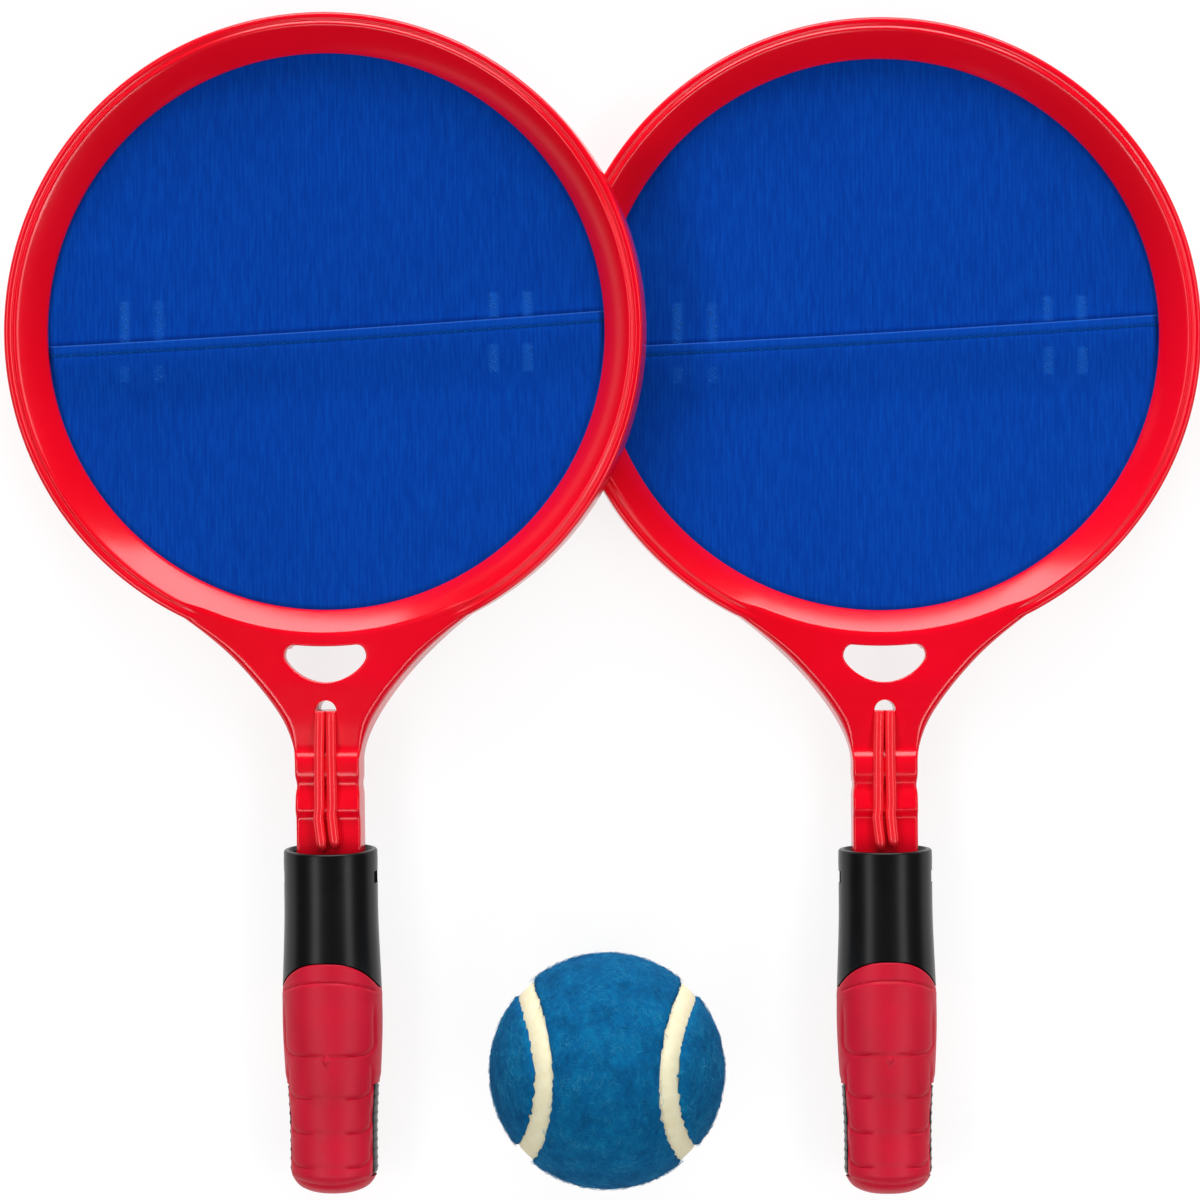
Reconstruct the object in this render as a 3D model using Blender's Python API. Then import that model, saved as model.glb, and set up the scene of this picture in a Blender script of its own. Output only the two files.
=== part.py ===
"""Hook-and-loop catch set: two round catching rackets and a felt ball, lying as they come to rest.

Each racket is a moulded ring frame that runs into a throat, a neck and a tang. A two-panel fabric
face is clamped in the ring by a rear ring, a hand strap is sewn to its back, and the tang plugs
into a hollow grip with a soft cover. One racket lies flat, the other leans with its head on the
first one's rim, and the ball lies between the two grips.

A racket is built in its own frame: X to its right, Y from the grip to the head, Z to its front,
with the origin at the middle of the ring on the ring's back plane.
"""
import math

import bmesh
import bpy
from mathutils import Matrix, Vector

MM = 0.001

# Clearance between pieces that touch
FIT_GAP = 0.3 * MM

# Head ring, with the two beads of its crest ending in a groove between them
HEAD_WIDTH = 170.0 * MM
HEAD_LENGTH = 167.8 * MM
RING_DEPTH = 13.0 * MM
RING_WALL = 1.8 * MM
BEAD_RADIUS = 0.75 * MM
BEAD_SPACING = 1.75 * MM
BEAD_SUNK = 0.15 * MM
OUTER_BEAD_END = 150
INNER_BEAD_START = 60
RIM_WIDTH = 10.4 * MM
FLANGE_TOP = 6.6 * MM
FLANGE_THICKNESS = 1.4 * MM
RIM_BULGE = 0.55 * MM
SNAP_BEAD = 0.4 * MM
SNAP_HEIGHT = 1.8 * MM

# Fabric face
FABRIC_THICKNESS = 1.2 * MM
CLAMP_WIDTH = 3.8 * MM
SEAM_TILT = math.radians(2.9)
SEAM_OFFSET = 0.7 * MM
HEM_WIDTH = 5.2 * MM
HEM_SLOPE = 4.0 * MM

# Hand strap on the back of the face
STRAP_LENGTH = 113.0 * MM
STRAP_WIDTH = 21.4 * MM
STRAP_THICKNESS = 1.3 * MM
STRAP_BOW = 1.2 * MM
STRAP_OFFSET = -1.2 * MM

# Throat, neck and tang, all one moulding with the ring, with places below the ring's outer edge
THROAT_ANGLE = math.radians(30.5)
THROAT_LENGTH = 29.9 * MM
THROAT_NECK_PULL = 12.8 * MM
THROAT_RING_PULL = 14.8 * MM
THROAT_EDGE_ROUND = 2.0 * MM
THROAT_BACK = 2.0 * MM
MOULD_WALL = 1.8 * MM
NECK_WIDTH = 17.4 * MM
NECK_FRONT = 10.2 * MM
TANG_LENGTH = 26.0 * MM
TANG_FOOT_LENGTH = 6.0 * MM
TANG_FOOT_HEIGHT = 6.0 * MM
NUB_HEIGHT = 3.6 * MM
NUB_SUNK = 0.8 * MM

# Bumps across the neck, also placed below the ring's outer edge
DIP_START = 15.1 * MM
BUMP_ONE_FOOT = 26.3 * MM
BUMP_ONE_CREST = 30.5 * MM
BUMP_VALLEY = 36.1 * MM
BUMP_TWO_CREST = 42.9 * MM
BUMP_TWO_END = 44.1 * MM
BUMP_HEIGHT = 1.6 * MM

# Twin ribs along the neck
RIB_TOP = 13.1 * MM
RIB_WIDTH = 2.5 * MM
RIB_SPACING = 3.0 * MM
RIB_SHORT = 1.8 * MM
RIB_SWAY = 0.35 * MM

# Holes through the throat
SLOT_TOP_INSET = 0.9 * MM
SLOT_WIDTH = 21.8 * MM
SLOT_SHOULDER = 2.6 * MM
SLOT_DROP = 7.0 * MM
SLOT_CORNER = 2.6 * MM
EYE_PLACE = 16.2 * MM
EYE_RADIUS = 2.8 * MM

# Grip: a hollow core that the tang plugs into
NECK_LENGTH = 54.1 * MM
GRIP_LENGTH = 90.2 * MM
GRIP_MOUTH_WIDTH = 24.9 * MM
GRIP_SWELL_WIDTH = 26.6 * MM
GRIP_SWELL_PLACE = 43.0 * MM
GRIP_TAIL_WIDTH = 24.0 * MM
GRIP_TAIL_LENGTH = 14.2 * MM
GRIP_FLATNESS = 0.92
GRIP_END_ROUND = 7.0 * MM
GRIP_WALL = 1.9 * MM
GRIP_LIP = 0.7 * MM
SNAP_HOLE_PLACE = 4.9 * MM
SNAP_HOLE_LENGTH = 2.9 * MM

# Soft cover over the lower part of the grip
COVER_THICKNESS = 1.4 * MM
COVER_ARCH_FRONT = 29.6 * MM
COVER_ARCH_DROP = 6.7 * MM
WINDOW_LENGTH = 24.6 * MM
WINDOW_TO_END = 4.6 * MM
WINDOW_SUNK = 0.5 * MM

# Felt ball
BALL_RADIUS = 30.8 * MM
FELT_THICKNESS = 1.2 * MM
SEAM_WIDTH = 6.3 * MM
SEAM_WAIST = 0.757
BALL_TURN = math.radians(-45)
BALL_LEAN = math.radians(-1.2)

# How the set lies
RACKET_SPACING = 146.9 * MM
RACKET_TURN = math.radians(0.67)
BALL_ASIDE = 1.1 * MM
BALL_BELOW = 193.8 * MM

# How finely round forms are divided
RING_SEGMENTS = 56
GRIP_SEGMENTS = 24
WINDOW_COLUMNS = 4
BALL_SEGMENTS = 24
SEAM_SEGMENTS = 36
CURVE_STEPS = 10

# Points this near to each other become one where two forms are joined or cut
WELD = 0.002 * MM

HEAD_RADIUS = HEAD_WIDTH / 2
HEAD_RATIO = HEAD_LENGTH / HEAD_WIDTH
OPENING_RADIUS = HEAD_RADIUS - RIM_WIDTH
FLANGE_BACK = FLANGE_TOP - FLANGE_THICKNESS
FABRIC_FRONT = FLANGE_BACK - FIT_GAP
FABRIC_BACK = FABRIC_FRONT - FABRIC_THICKNESS
PANEL_RADIUS = OPENING_RADIUS + CLAMP_WIDTH
NECK_MIDDLE = (THROAT_BACK + RING_DEPTH) / 2 - MM
RING_EDGE = HEAD_LENGTH / 2
EYE_MIDDLE = RING_EDGE + EYE_PLACE
SLOT_TOP = RING_EDGE - SLOT_TOP_INSET
SLOT_WIDEST = SLOT_TOP + SLOT_SHOULDER
SLOT_BOTTOM = SLOT_WIDEST + SLOT_DROP
GRIP_MOUTH = RING_EDGE + NECK_LENGTH
RIB_END = GRIP_MOUTH - RIB_SHORT
GRIP_TAIL_PLACE = GRIP_LENGTH - GRIP_TAIL_LENGTH
WINDOW_END = GRIP_LENGTH - WINDOW_TO_END
WINDOW_START = WINDOW_END - WINDOW_LENGTH


def srgb(red, green, blue):
    """Turn a colour given in 0 to 255 into Blender's linear colour."""
    def channel(value):
        value /= 255
        return value / 12.92 if value <= 0.04045 else ((value + 0.055) / 1.055) ** 2.4
    return (channel(red), channel(green), channel(blue), 1.0)


def material(name, colour, roughness):
    """A plain Principled material."""
    made = bpy.data.materials.new(name)
    made.use_nodes = True
    shader = made.node_tree.nodes["Principled BSDF"]
    shader.inputs["Base Color"].default_value = colour
    shader.inputs["Roughness"].default_value = roughness
    shader.inputs["Metallic"].default_value = 0.0
    return made


def mix(start, end, share):
    return start + (end - start) * share


def smooth(share):
    """Ease from 0 to 1 with level ends."""
    share = min(max(share, 0.0), 1.0)
    return share * share * (3 - 2 * share)


def arc(centre, radius, start, end, steps):
    """Points on an arc, angles in degrees."""
    angles = [math.radians(mix(start, end, i / steps)) for i in range(steps + 1)]
    return [(centre[0] + radius * math.cos(a), centre[1] + radius * math.sin(a)) for a in angles]


def bezier(first, first_pull, last_pull, last, steps):
    """Points on a cubic curve between two points and their handles."""
    points = []
    for i in range(steps + 1):
        t = i / steps
        u = 1 - t
        weights = (u ** 3, 3 * u * u * t, 3 * u * t * t, t ** 3)
        pulls = (first, first_pull, last_pull, last)
        points.append(tuple(sum(w * p[k] for w, p in zip(weights, pulls)) for k in range(2)))
    return points


def mesh_from(bm, name):
    """Finish a closed form as a mesh with outward faces and smooth round sides."""
    bmesh.ops.remove_doubles(bm, verts=bm.verts, dist=1e-7)
    bmesh.ops.recalc_face_normals(bm, faces=bm.faces)
    mesh = bpy.data.meshes.new(name)
    bm.to_mesh(mesh)
    bm.free()
    mesh.shade_smooth()
    mesh.set_sharp_from_angle(angle=math.radians(35))
    return mesh


def revolve(profile, name):
    """Turn a closed profile of radius and height into a ring, drawn in to the head's length."""
    bm = bmesh.new()
    loops = []
    for i in range(RING_SEGMENTS):
        angle = 2 * math.pi * i / RING_SEGMENTS
        x, y = math.cos(angle), math.sin(angle) * HEAD_RATIO
        loops.append([bm.verts.new((r * x, r * y, z)) for r, z in profile])
    count = len(profile)
    for i, loop in enumerate(loops):
        following = loops[(i + 1) % RING_SEGMENTS]
        for k in range(count):
            bm.faces.new((loop[k], following[k], following[(k + 1) % count], loop[(k + 1) % count]))
    return mesh_from(bm, name)


def stack(layers, name):
    """Close a form through outlines that have the same number of points, each at its height."""
    bm = bmesh.new()
    loops = [[bm.verts.new((x, y, z)) for x, y in outline] for z, outline in layers]
    count = len(loops[0])
    bm.faces.new(loops[0])
    bm.faces.new(loops[-1])
    for low, high in zip(loops, loops[1:]):
        for k in range(count):
            bm.faces.new((low[k], low[(k + 1) % count], high[(k + 1) % count], high[k]))
    return mesh_from(bm, name)


def prism(outline, low, high, name):
    return stack([(low, outline), (high, outline)], name)


def sweep(sections, name):
    """Close a form through sections that have the same number of points in space."""
    bm = bmesh.new()
    loops = [[bm.verts.new(point) for point in section] for section in sections]
    count = len(loops[0])
    bm.faces.new(loops[0])
    bm.faces.new(loops[-1])
    for near, far in zip(loops, loops[1:]):
        for k in range(count):
            bm.faces.new((near[k], near[(k + 1) % count], far[(k + 1) % count], far[k]))
    return mesh_from(bm, name)


def combine(base, tool, operation):
    """Join, cut or cross two meshes and return the result as a new mesh."""
    body = bpy.data.objects.new("combine_body", base)
    cutter = bpy.data.objects.new("combine_cutter", tool)
    for helper in (body, cutter):
        bpy.context.scene.collection.objects.link(helper)
    modifier = body.modifiers.new("combine", "BOOLEAN")
    modifier.operation = operation
    modifier.solver = "EXACT"
    modifier.object = cutter
    bpy.context.view_layer.update()
    graph = bpy.context.evaluated_depsgraph_get()
    result = bpy.data.meshes.new_from_object(body.evaluated_get(graph))
    result.name = base.name
    for helper in (body, cutter):
        bpy.data.objects.remove(helper)
    bm = bmesh.new()
    bm.from_mesh(result)
    bmesh.ops.remove_doubles(bm, verts=bm.verts, dist=WELD)
    bmesh.ops.dissolve_degenerate(bm, edges=bm.edges, dist=WELD)
    bm.to_mesh(result)
    bm.free()
    result.set_sharp_from_angle(angle=math.radians(35))
    return result


def head_point(radius, angle):
    """A point of the head at an angle from the grip's direction, at a radius across the head."""
    return (radius * math.sin(angle), -radius * math.cos(angle) * HEAD_RATIO)


def ring_profile():
    """Section of the frame's ring: outer wall, two beads, inner slope, flange and open back."""
    outer = HEAD_RADIUS
    inner = HEAD_RADIUS - RING_WALL
    bead_height = RING_DEPTH - BEAD_SUNK - BEAD_RADIUS
    bead_one = (outer - BEAD_RADIUS, bead_height)
    bead_two = (bead_one[0] - BEAD_SPACING, bead_height)
    crest = (bead_two[0] - BEAD_RADIUS, bead_height - BEAD_RADIUS / 2)
    edge = (OPENING_RADIUS, FLANGE_TOP)
    slope = []
    for share in (1 / 3, 2 / 3):
        bulge = 4 * share * (1 - share) * RIM_BULGE
        slope.append((mix(crest[0], edge[0], share), mix(crest[1], edge[1], share) + bulge))
    pocket = PANEL_RADIUS + 2 * FIT_GAP
    pocket_rise = mix(FLANGE_TOP, crest[1], (pocket - edge[0]) / (crest[0] - edge[0])) - 1.2 * RING_WALL
    points = [(outer, 0.0)]
    points += arc(bead_one, BEAD_RADIUS, 0, OUTER_BEAD_END, 3)
    points += arc(bead_two, BEAD_RADIUS, INNER_BEAD_START, 180, 2)
    points += [crest] + slope + [edge, (OPENING_RADIUS, FLANGE_BACK)]
    points += [(pocket, FLANGE_BACK), (pocket, max(pocket_rise, FLANGE_BACK + FIT_GAP))]
    points += [(inner, crest[1] - 1.2 * RING_WALL)]
    points += [(inner, SNAP_HEIGHT + 2 * SNAP_BEAD), (inner - SNAP_BEAD, SNAP_HEIGHT)]
    points += [(inner, SNAP_HEIGHT - 2 * SNAP_BEAD), (inner, 0.0)]
    return points


def rear_ring_profile():
    """Section of the pressed-in rear ring, grooved for the snap bead inside the frame's wall."""
    outer = HEAD_RADIUS - RING_WALL - FIT_GAP
    inner = OPENING_RADIUS + 2 * FIT_GAP
    top = FABRIC_BACK - FIT_GAP
    groove = SNAP_BEAD + FIT_GAP
    edge = 0.4 * FABRIC_THICKNESS
    return [
        (outer, 0.0),
        (outer, SNAP_HEIGHT - 2 * groove),
        (outer - groove, SNAP_HEIGHT),
        (outer, min(SNAP_HEIGHT + 2 * groove, top - FIT_GAP)),
        (outer, top),
        (inner, top),
        (inner, edge),
        (inner + edge, 0.0),
    ]


def disc_slice(radius, low, high, steps):
    """The part of a disc between two lines across it, turned to the seam and set on the head."""
    start = math.asin(max(low / radius, -1.0))
    end = math.asin(min(high / radius, 1.0))
    right = []
    for i in range(steps + 1):
        angle = mix(start, end, i / steps)
        right.append((radius * math.cos(angle), radius * math.sin(angle)))
    left = [(-u, v) for u, v in reversed(right)]
    return [seam_to_head(u, v) for u, v in right + left]


def seam_to_head(along, across):
    """A point given along and across the seam, in the racket's own frame."""
    x = along * math.cos(SEAM_TILT) - across * math.sin(SEAM_TILT)
    y = along * math.sin(SEAM_TILT) + across * math.cos(SEAM_TILT)
    return (x, y * HEAD_RATIO)


def upper_panel():
    """The upper half of the face, whose lower edge runs on under the seam's hem."""
    outline = disc_slice(PANEL_RADIUS, SEAM_OFFSET - HEM_WIDTH + FIT_GAP, PANEL_RADIUS, 2 * CURVE_STEPS)
    return prism(outline, FABRIC_BACK, FABRIC_FRONT, "upper_panel")


def lower_panel():
    """The lower half of the face, with its folded hem laid over the upper half's edge."""
    edge = SEAM_OFFSET - HEM_WIDTH
    outline = disc_slice(PANEL_RADIUS, -PANEL_RADIUS, edge, 2 * CURVE_STEPS)
    panel = prism(outline, FABRIC_BACK, FABRIC_FRONT, "lower_panel")
    under = FABRIC_FRONT + FIT_GAP
    hem_top = under + FABRIC_THICKNESS
    profile = [
        (edge - HEM_SLOPE, FABRIC_FRONT),
        (edge - HEM_SLOPE, mix(FABRIC_BACK, FABRIC_FRONT, 0.5)),
        (edge, mix(FABRIC_BACK, FABRIC_FRONT, 0.5)),
        (edge, under),
        (SEAM_OFFSET, under),
        (SEAM_OFFSET, hem_top),
        (edge, hem_top),
    ]
    sections = []
    for along in (-PANEL_RADIUS, PANEL_RADIUS):
        sections.append([(*seam_to_head(along, across), height) for across, height in profile])
    hem = sweep(sections, "hem")
    disc = disc_slice(OPENING_RADIUS - FIT_GAP, FIT_GAP - OPENING_RADIUS, OPENING_RADIUS - FIT_GAP, 32)
    hem = combine(hem, prism(disc, 0.0, RING_DEPTH, "hem_disc"), "INTERSECT")
    return combine(panel, hem, "UNION")


def hand_strap():
    """A flat elastic strap whose ends lie on the face and whose middle stands off a little."""
    half = STRAP_WIDTH / 2
    sewn = 0.36 * STRAP_LENGTH
    top = FABRIC_BACK - FIT_GAP
    sections = []
    for share in (-1.0, -0.72, -0.5, -0.25, 0.0, 0.25, 0.5, 0.72, 1.0):
        along = share * STRAP_LENGTH / 2
        bow = STRAP_BOW * smooth(1 - abs(along) / sewn)
        front, back = top - bow, top - bow - STRAP_THICKNESS
        sides = ((-half, front), (half, front), (half, back), (-half, back))
        sections.append([(along, STRAP_OFFSET + y, z) for y, z in sides])
    return sweep(sections, "hand_strap")


def throat_side(inset):
    """The right edge of throat, neck and tang, from the ring down, drawn in by an inset."""
    ring_point = head_point(HEAD_RADIUS - RING_WALL / 4, THROAT_ANGLE)
    along_ring = (math.cos(THROAT_ANGLE), math.sin(THROAT_ANGLE))
    neck_point = (NECK_WIDTH / 2, -RING_EDGE - THROAT_LENGTH)
    points = bezier(
        ring_point,
        (ring_point[0] - THROAT_RING_PULL * along_ring[0], ring_point[1] - THROAT_RING_PULL * along_ring[1]),
        (neck_point[0], neck_point[1] + THROAT_NECK_PULL),
        neck_point,
        CURVE_STEPS,
    )
    points.append((NECK_WIDTH / 2, -GRIP_MOUTH - TANG_LENGTH))
    moved = []
    for i, point in enumerate(points):
        before = points[max(i - 1, 0)]
        after = points[min(i + 1, len(points) - 1)]
        if i == len(points) - 2:
            after = (point[0], point[1] - MM)
        length = math.hypot(after[0] - before[0], after[1] - before[1])
        normal = ((after[1] - before[1]) / length, -(after[0] - before[0]) / length)
        moved.append((point[0] + inset * normal[0], point[1] + inset * normal[1]))
    return moved


def throat_outline(inset, ring_radius):
    """Closed outline of throat, neck and tang, closed at the ring by an arc of its own radius."""
    right = [(x, y) for x, y in throat_side(inset) if math.hypot(x, y / HEAD_RATIO) > ring_radius]
    left = [(-x, y) for x, y in reversed(right)]
    limit = math.atan2(right[0][0], -right[0][1] / HEAD_RATIO)
    steps = 12
    top = [head_point(ring_radius, mix(-limit, limit, i / steps)) for i in range(1, steps)]
    return right + left + top


def clipped(outline, low, high):
    """The stretch of an outline between two distances below the ring's middle."""
    for limit, sign in ((-high, 1), (-low, -1)):
        kept = []
        for i, (x, y) in enumerate(outline):
            before_x, before_y = outline[i - 1]
            inside, was_inside = sign * (y - limit) >= 0, sign * (before_y - limit) >= 0
            if inside != was_inside:
                share = (limit - before_y) / (y - before_y)
                kept.append((mix(before_x, x, share), limit))
            if inside:
                kept.append((x, y))
        outline = kept
    return outline


def neck_front():
    """Side view of what is cut off the neck's front: a dip, two bumps across and a flat end."""
    high = RING_DEPTH + 2 * MM
    crest = NECK_FRONT + BUMP_HEIGHT
    end = NECK_LENGTH + TANG_LENGTH + MM
    return [
        (DIP_START, high),
        (DIP_START, RING_DEPTH),
        (mix(DIP_START, BUMP_ONE_FOOT, 0.5), mix(RING_DEPTH, NECK_FRONT, 0.65)),
        (BUMP_ONE_FOOT, NECK_FRONT),
        (mix(BUMP_ONE_FOOT, BUMP_ONE_CREST, 0.6), crest),
        (BUMP_ONE_CREST, crest),
        (BUMP_VALLEY, NECK_FRONT),
        (mix(BUMP_VALLEY, BUMP_TWO_CREST, 0.3), mix(NECK_FRONT, crest, 0.2)),
        (BUMP_TWO_CREST, crest),
        (BUMP_TWO_END, NECK_FRONT),
        (end, NECK_FRONT),
        (end, high),
    ]


def rib(side):
    """One of the twin round-topped ribs, swaying a little along the neck."""
    half = RIB_WIDTH / 2
    root = NECK_FRONT - MOULD_WALL / 2
    stations = 9
    sections = []
    for i in range(stations):
        share = i / (stations - 1)
        place = mix(EYE_MIDDLE, RIB_END, share)
        taper = 0.55 if i in (0, stations - 1) else 1.0
        centre = side * RIB_SPACING / 2 + RIB_SWAY * math.sin(2 * math.pi * share) * share
        top = RIB_TOP - (half if taper < 1.0 else 0.0)
        outline = [(-half * taper, root)]
        for k in range(5):
            angle = math.pi * (1 - k / 4)
            outline.append((half * taper * math.cos(angle), top - half * taper * (1 - math.sin(angle))))
        outline.append((half * taper, root))
        sections.append([(centre + x, -place, z) for x, z in outline])
    return sweep(sections, "rib")


def slot_outline():
    """The D-shaped hole: a top bowed like the ring, round shoulders and a round lower edge."""
    top_radius = HEAD_RADIUS - SLOT_TOP_INSET
    half = SLOT_WIDTH / 2
    shoulder = (half - SLOT_CORNER) / top_radius
    top = [head_point(top_radius, mix(-shoulder, shoulder, i / 4)) for i in range(5)]
    right = bezier(
        (half, -SLOT_WIDEST),
        (half, -SLOT_WIDEST - 0.3 * SLOT_DROP),
        (0.55 * half, -SLOT_BOTTOM),
        (0.0, -SLOT_BOTTOM),
        6,
    )
    corner = (half - 0.25 * SLOT_CORNER, mix(top[-1][1], -SLOT_WIDEST, 0.3))
    left = [(-x, y) for x, y in reversed(right[:-1])]
    return top + [corner] + right + left + [(-corner[0], corner[1])]


def eye_outline():
    """The half-round hole at the head of the ribs."""
    return arc((0.0, -EYE_MIDDLE), EYE_RADIUS, 0, 180, 8)


def frame():
    """Ring, throat, neck, ribs and tang as the one moulding that they are."""
    body = revolve(ring_profile(), "frame")
    outer = HEAD_RADIUS - RING_WALL / 2
    full = throat_outline(0.0, outer)
    soft = throat_outline(0.3 * THROAT_EDGE_ROUND, outer - 0.4 * THROAT_EDGE_ROUND)
    narrow = throat_outline(THROAT_EDGE_ROUND, outer - 1.2 * THROAT_EDGE_ROUND)
    throat = stack(
        [
            (THROAT_BACK, full),
            (RING_DEPTH - THROAT_EDGE_ROUND, full),
            (RING_DEPTH - 0.3 * THROAT_EDGE_ROUND, soft),
            (RING_DEPTH, narrow),
        ],
        "throat",
    )
    side = neck_front()
    half = HEAD_RADIUS / 2
    cut = sweep([[(x, -RING_EDGE - place, z) for place, z in side] for x in (-half, half)], "cut")
    throat = combine(throat, cut, "DIFFERENCE")
    for low, high, arc_radius in pocket_stretches():
        outline = clipped(throat_outline(MOULD_WALL, arc_radius), low, high)
        roof = RING_DEPTH - 1.2 * MOULD_WALL if high < EYE_MIDDLE else NECK_FRONT - MOULD_WALL
        throat = combine(throat, prism(outline, -MM, roof, "pocket"), "DIFFERENCE")
    throat = combine(throat, slot_collar(), "UNION")
    for side_sign in (-1, 1):
        throat = combine(throat, rib(side_sign), "UNION")
        throat = combine(throat, nub(side_sign), "UNION")
    throat = combine(throat, tang_foot(), "UNION")
    body = combine(body, lip_cap(), "UNION")
    body = combine(body, throat, "UNION")
    for outline in (slot_outline(), eye_outline()):
        body = combine(body, prism(outline, -MM, RING_DEPTH + MM, "hole"), "DIFFERENCE")
    return body


def pocket_stretches():
    """Where the moulding is hollowed from the back, with a web left between two pockets."""
    ring_side = HEAD_RADIUS + RING_WALL / 3
    web = MOULD_WALL
    tang_end = GRIP_MOUTH + TANG_LENGTH
    return (
        (0.0, EYE_MIDDLE - EYE_RADIUS - web, ring_side),
        (EYE_MIDDLE + web, RING_EDGE + BUMP_TWO_END, ring_side),
        (RING_EDGE + BUMP_TWO_END + web, GRIP_MOUTH + SNAP_HOLE_PLACE - web, ring_side),
        (GRIP_MOUTH + SNAP_HOLE_PLACE + SNAP_HOLE_LENGTH + web, tang_end - TANG_FOOT_LENGTH, ring_side),
    )


def slot_collar():
    """The wall that lines the D-shaped hole behind the throat's skin."""
    outline = slot_outline()
    middle = -(RING_EDGE + SLOT_BOTTOM) / 2
    grown = []
    for x, y in outline:
        length = math.hypot(x, y - middle)
        share = 1 + MOULD_WALL / length
        grown.append((x * share, min(middle + (y - middle) * share, -(HEAD_RADIUS - RING_WALL / 2) * HEAD_RATIO)))
    return prism(grown, THROAT_BACK, RING_DEPTH - MOULD_WALL / 2, "collar")


def lip_cap():
    """The flat land that carries the throat's face over the ring's beads to its crest."""
    inner = HEAD_RADIUS - 2 * BEAD_RADIUS - BEAD_SPACING + BEAD_SUNK
    outer = HEAD_RADIUS - BEAD_SUNK
    limit = THROAT_ANGLE - THROAT_EDGE_ROUND / HEAD_RADIUS
    steps = 14
    near = [head_point(inner, mix(-limit, limit, i / steps)) for i in range(steps + 1)]
    far = [head_point(outer, mix(limit, -limit, i / steps)) for i in range(steps + 1)]
    return prism(near + far, RING_DEPTH - 2 * BEAD_RADIUS, RING_DEPTH, "lip_cap")


def nub(side):
    """A snap nub on the tang's edge, standing in the hole of the grip's wall."""
    start = GRIP_MOUTH + SNAP_HOLE_PLACE + FIT_GAP
    end = GRIP_MOUTH + SNAP_HOLE_PLACE + SNAP_HOLE_LENGTH - FIT_GAP
    near = side * (NECK_WIDTH / 2 - MOULD_WALL / 2)
    far = side * (grip_half_width(SNAP_HOLE_PLACE) - NUB_SUNK)
    outline = [(near, -start), (far, -start), (far, -end), (near, -end)]
    middle = NECK_MIDDLE
    return prism(outline, middle - NUB_HEIGHT / 2, middle + NUB_HEIGHT / 2, "nub")


def tang_foot():
    """The wider end of the tang, which bears on the grip's bore."""
    end = GRIP_MOUTH + TANG_LENGTH
    start = end - TANG_FOOT_LENGTH
    bore = grip_half_width(start - GRIP_MOUTH) - GRIP_WALL - FIT_GAP
    lean = math.asin(min(TANG_FOOT_HEIGHT / 2 / (bore * GRIP_FLATNESS), 1.0))
    wide = bore * math.cos(lean)
    narrow = NECK_WIDTH / 2 - MOULD_WALL / 2
    right = [(narrow, -start + MM), (wide, -start - MM), (wide, -end + MM), (narrow, -end)]
    left = [(-x, y) for x, y in reversed(right)]
    middle = NECK_MIDDLE
    return prism(right + left, middle - TANG_FOOT_HEIGHT / 2, middle + TANG_FOOT_HEIGHT / 2, "tang_foot")


def grip_half_width(place):
    """Half the grip's width at a distance from its mouth."""
    mouth, swell, tail = GRIP_MOUTH_WIDTH / 2, GRIP_SWELL_WIDTH / 2, GRIP_TAIL_WIDTH / 2
    if place < GRIP_SWELL_PLACE:
        width = mix(mouth, swell, smooth((place / GRIP_SWELL_PLACE - 0.3) / 0.7))
    else:
        width = mix(swell, tail, smooth((place - GRIP_SWELL_PLACE) / (GRIP_TAIL_PLACE - GRIP_SWELL_PLACE)))
    past = place - (GRIP_LENGTH - GRIP_END_ROUND)
    if past > 0:
        width -= 0.42 * width * (past / GRIP_END_ROUND) ** 3
    return width


def grip_point(place, angle, sunk):
    """A point on the grip's oval section, sunk below its outer surface."""
    width = grip_half_width(min(place, GRIP_LENGTH)) - sunk
    depth = grip_half_width(min(place, GRIP_LENGTH)) * GRIP_FLATNESS - sunk
    return (width * math.cos(angle), -GRIP_MOUTH - place, NECK_MIDDLE + depth * math.sin(angle))


def grip_angle(column):
    return 2 * math.pi * column / GRIP_SEGMENTS


def cover_start(angle):
    """Where the cover begins: an arch at the front and back, lower at the sides."""
    return COVER_ARCH_FRONT + COVER_ARCH_DROP * math.cos(angle) ** 2


def shell(outer, inner, keep, name):
    """Close a wall between two grids that wrap around, shut at the last row, open in left-out cells."""
    bm = bmesh.new()
    made = {}

    def vertex(grid, kind, row, column):
        key = (kind, row, column % GRIP_SEGMENTS)
        if key not in made:
            made[key] = bm.verts.new(grid[row][key[2]])
        return made[key]

    rows = len(outer)
    for row in range(rows - 1):
        for column in range(GRIP_SEGMENTS):
            if not keep(row, column):
                continue
            corners = ((row, column), (row, column + 1), (row + 1, column + 1), (row + 1, column))
            bm.faces.new([vertex(outer, "outer", *corner) for corner in corners])
            bm.faces.new([vertex(inner, "inner", *corner) for corner in reversed(corners)])
            beside = ((row - 1, column), (row, column + 1), (row + 1, column), (row, column - 1))
            for k, (near_row, near_column) in enumerate(beside):
                closed = near_row >= rows - 1
                if closed or (near_row >= 0 and keep(near_row, near_column % GRIP_SEGMENTS)):
                    continue
                first, second = corners[k], corners[(k + 1) % 4]
                wall = (
                    vertex(outer, "outer", *second),
                    vertex(outer, "outer", *first),
                    vertex(inner, "inner", *first),
                    vertex(inner, "inner", *second),
                )
                bm.faces.new(wall)
    for grid, kind in ((outer, "outer"), (inner, "inner")):
        rim = [vertex(grid, kind, rows - 1, column) for column in range(GRIP_SEGMENTS)]
        bm.faces.new(rim)
    return mesh_from(bm, name)


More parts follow.
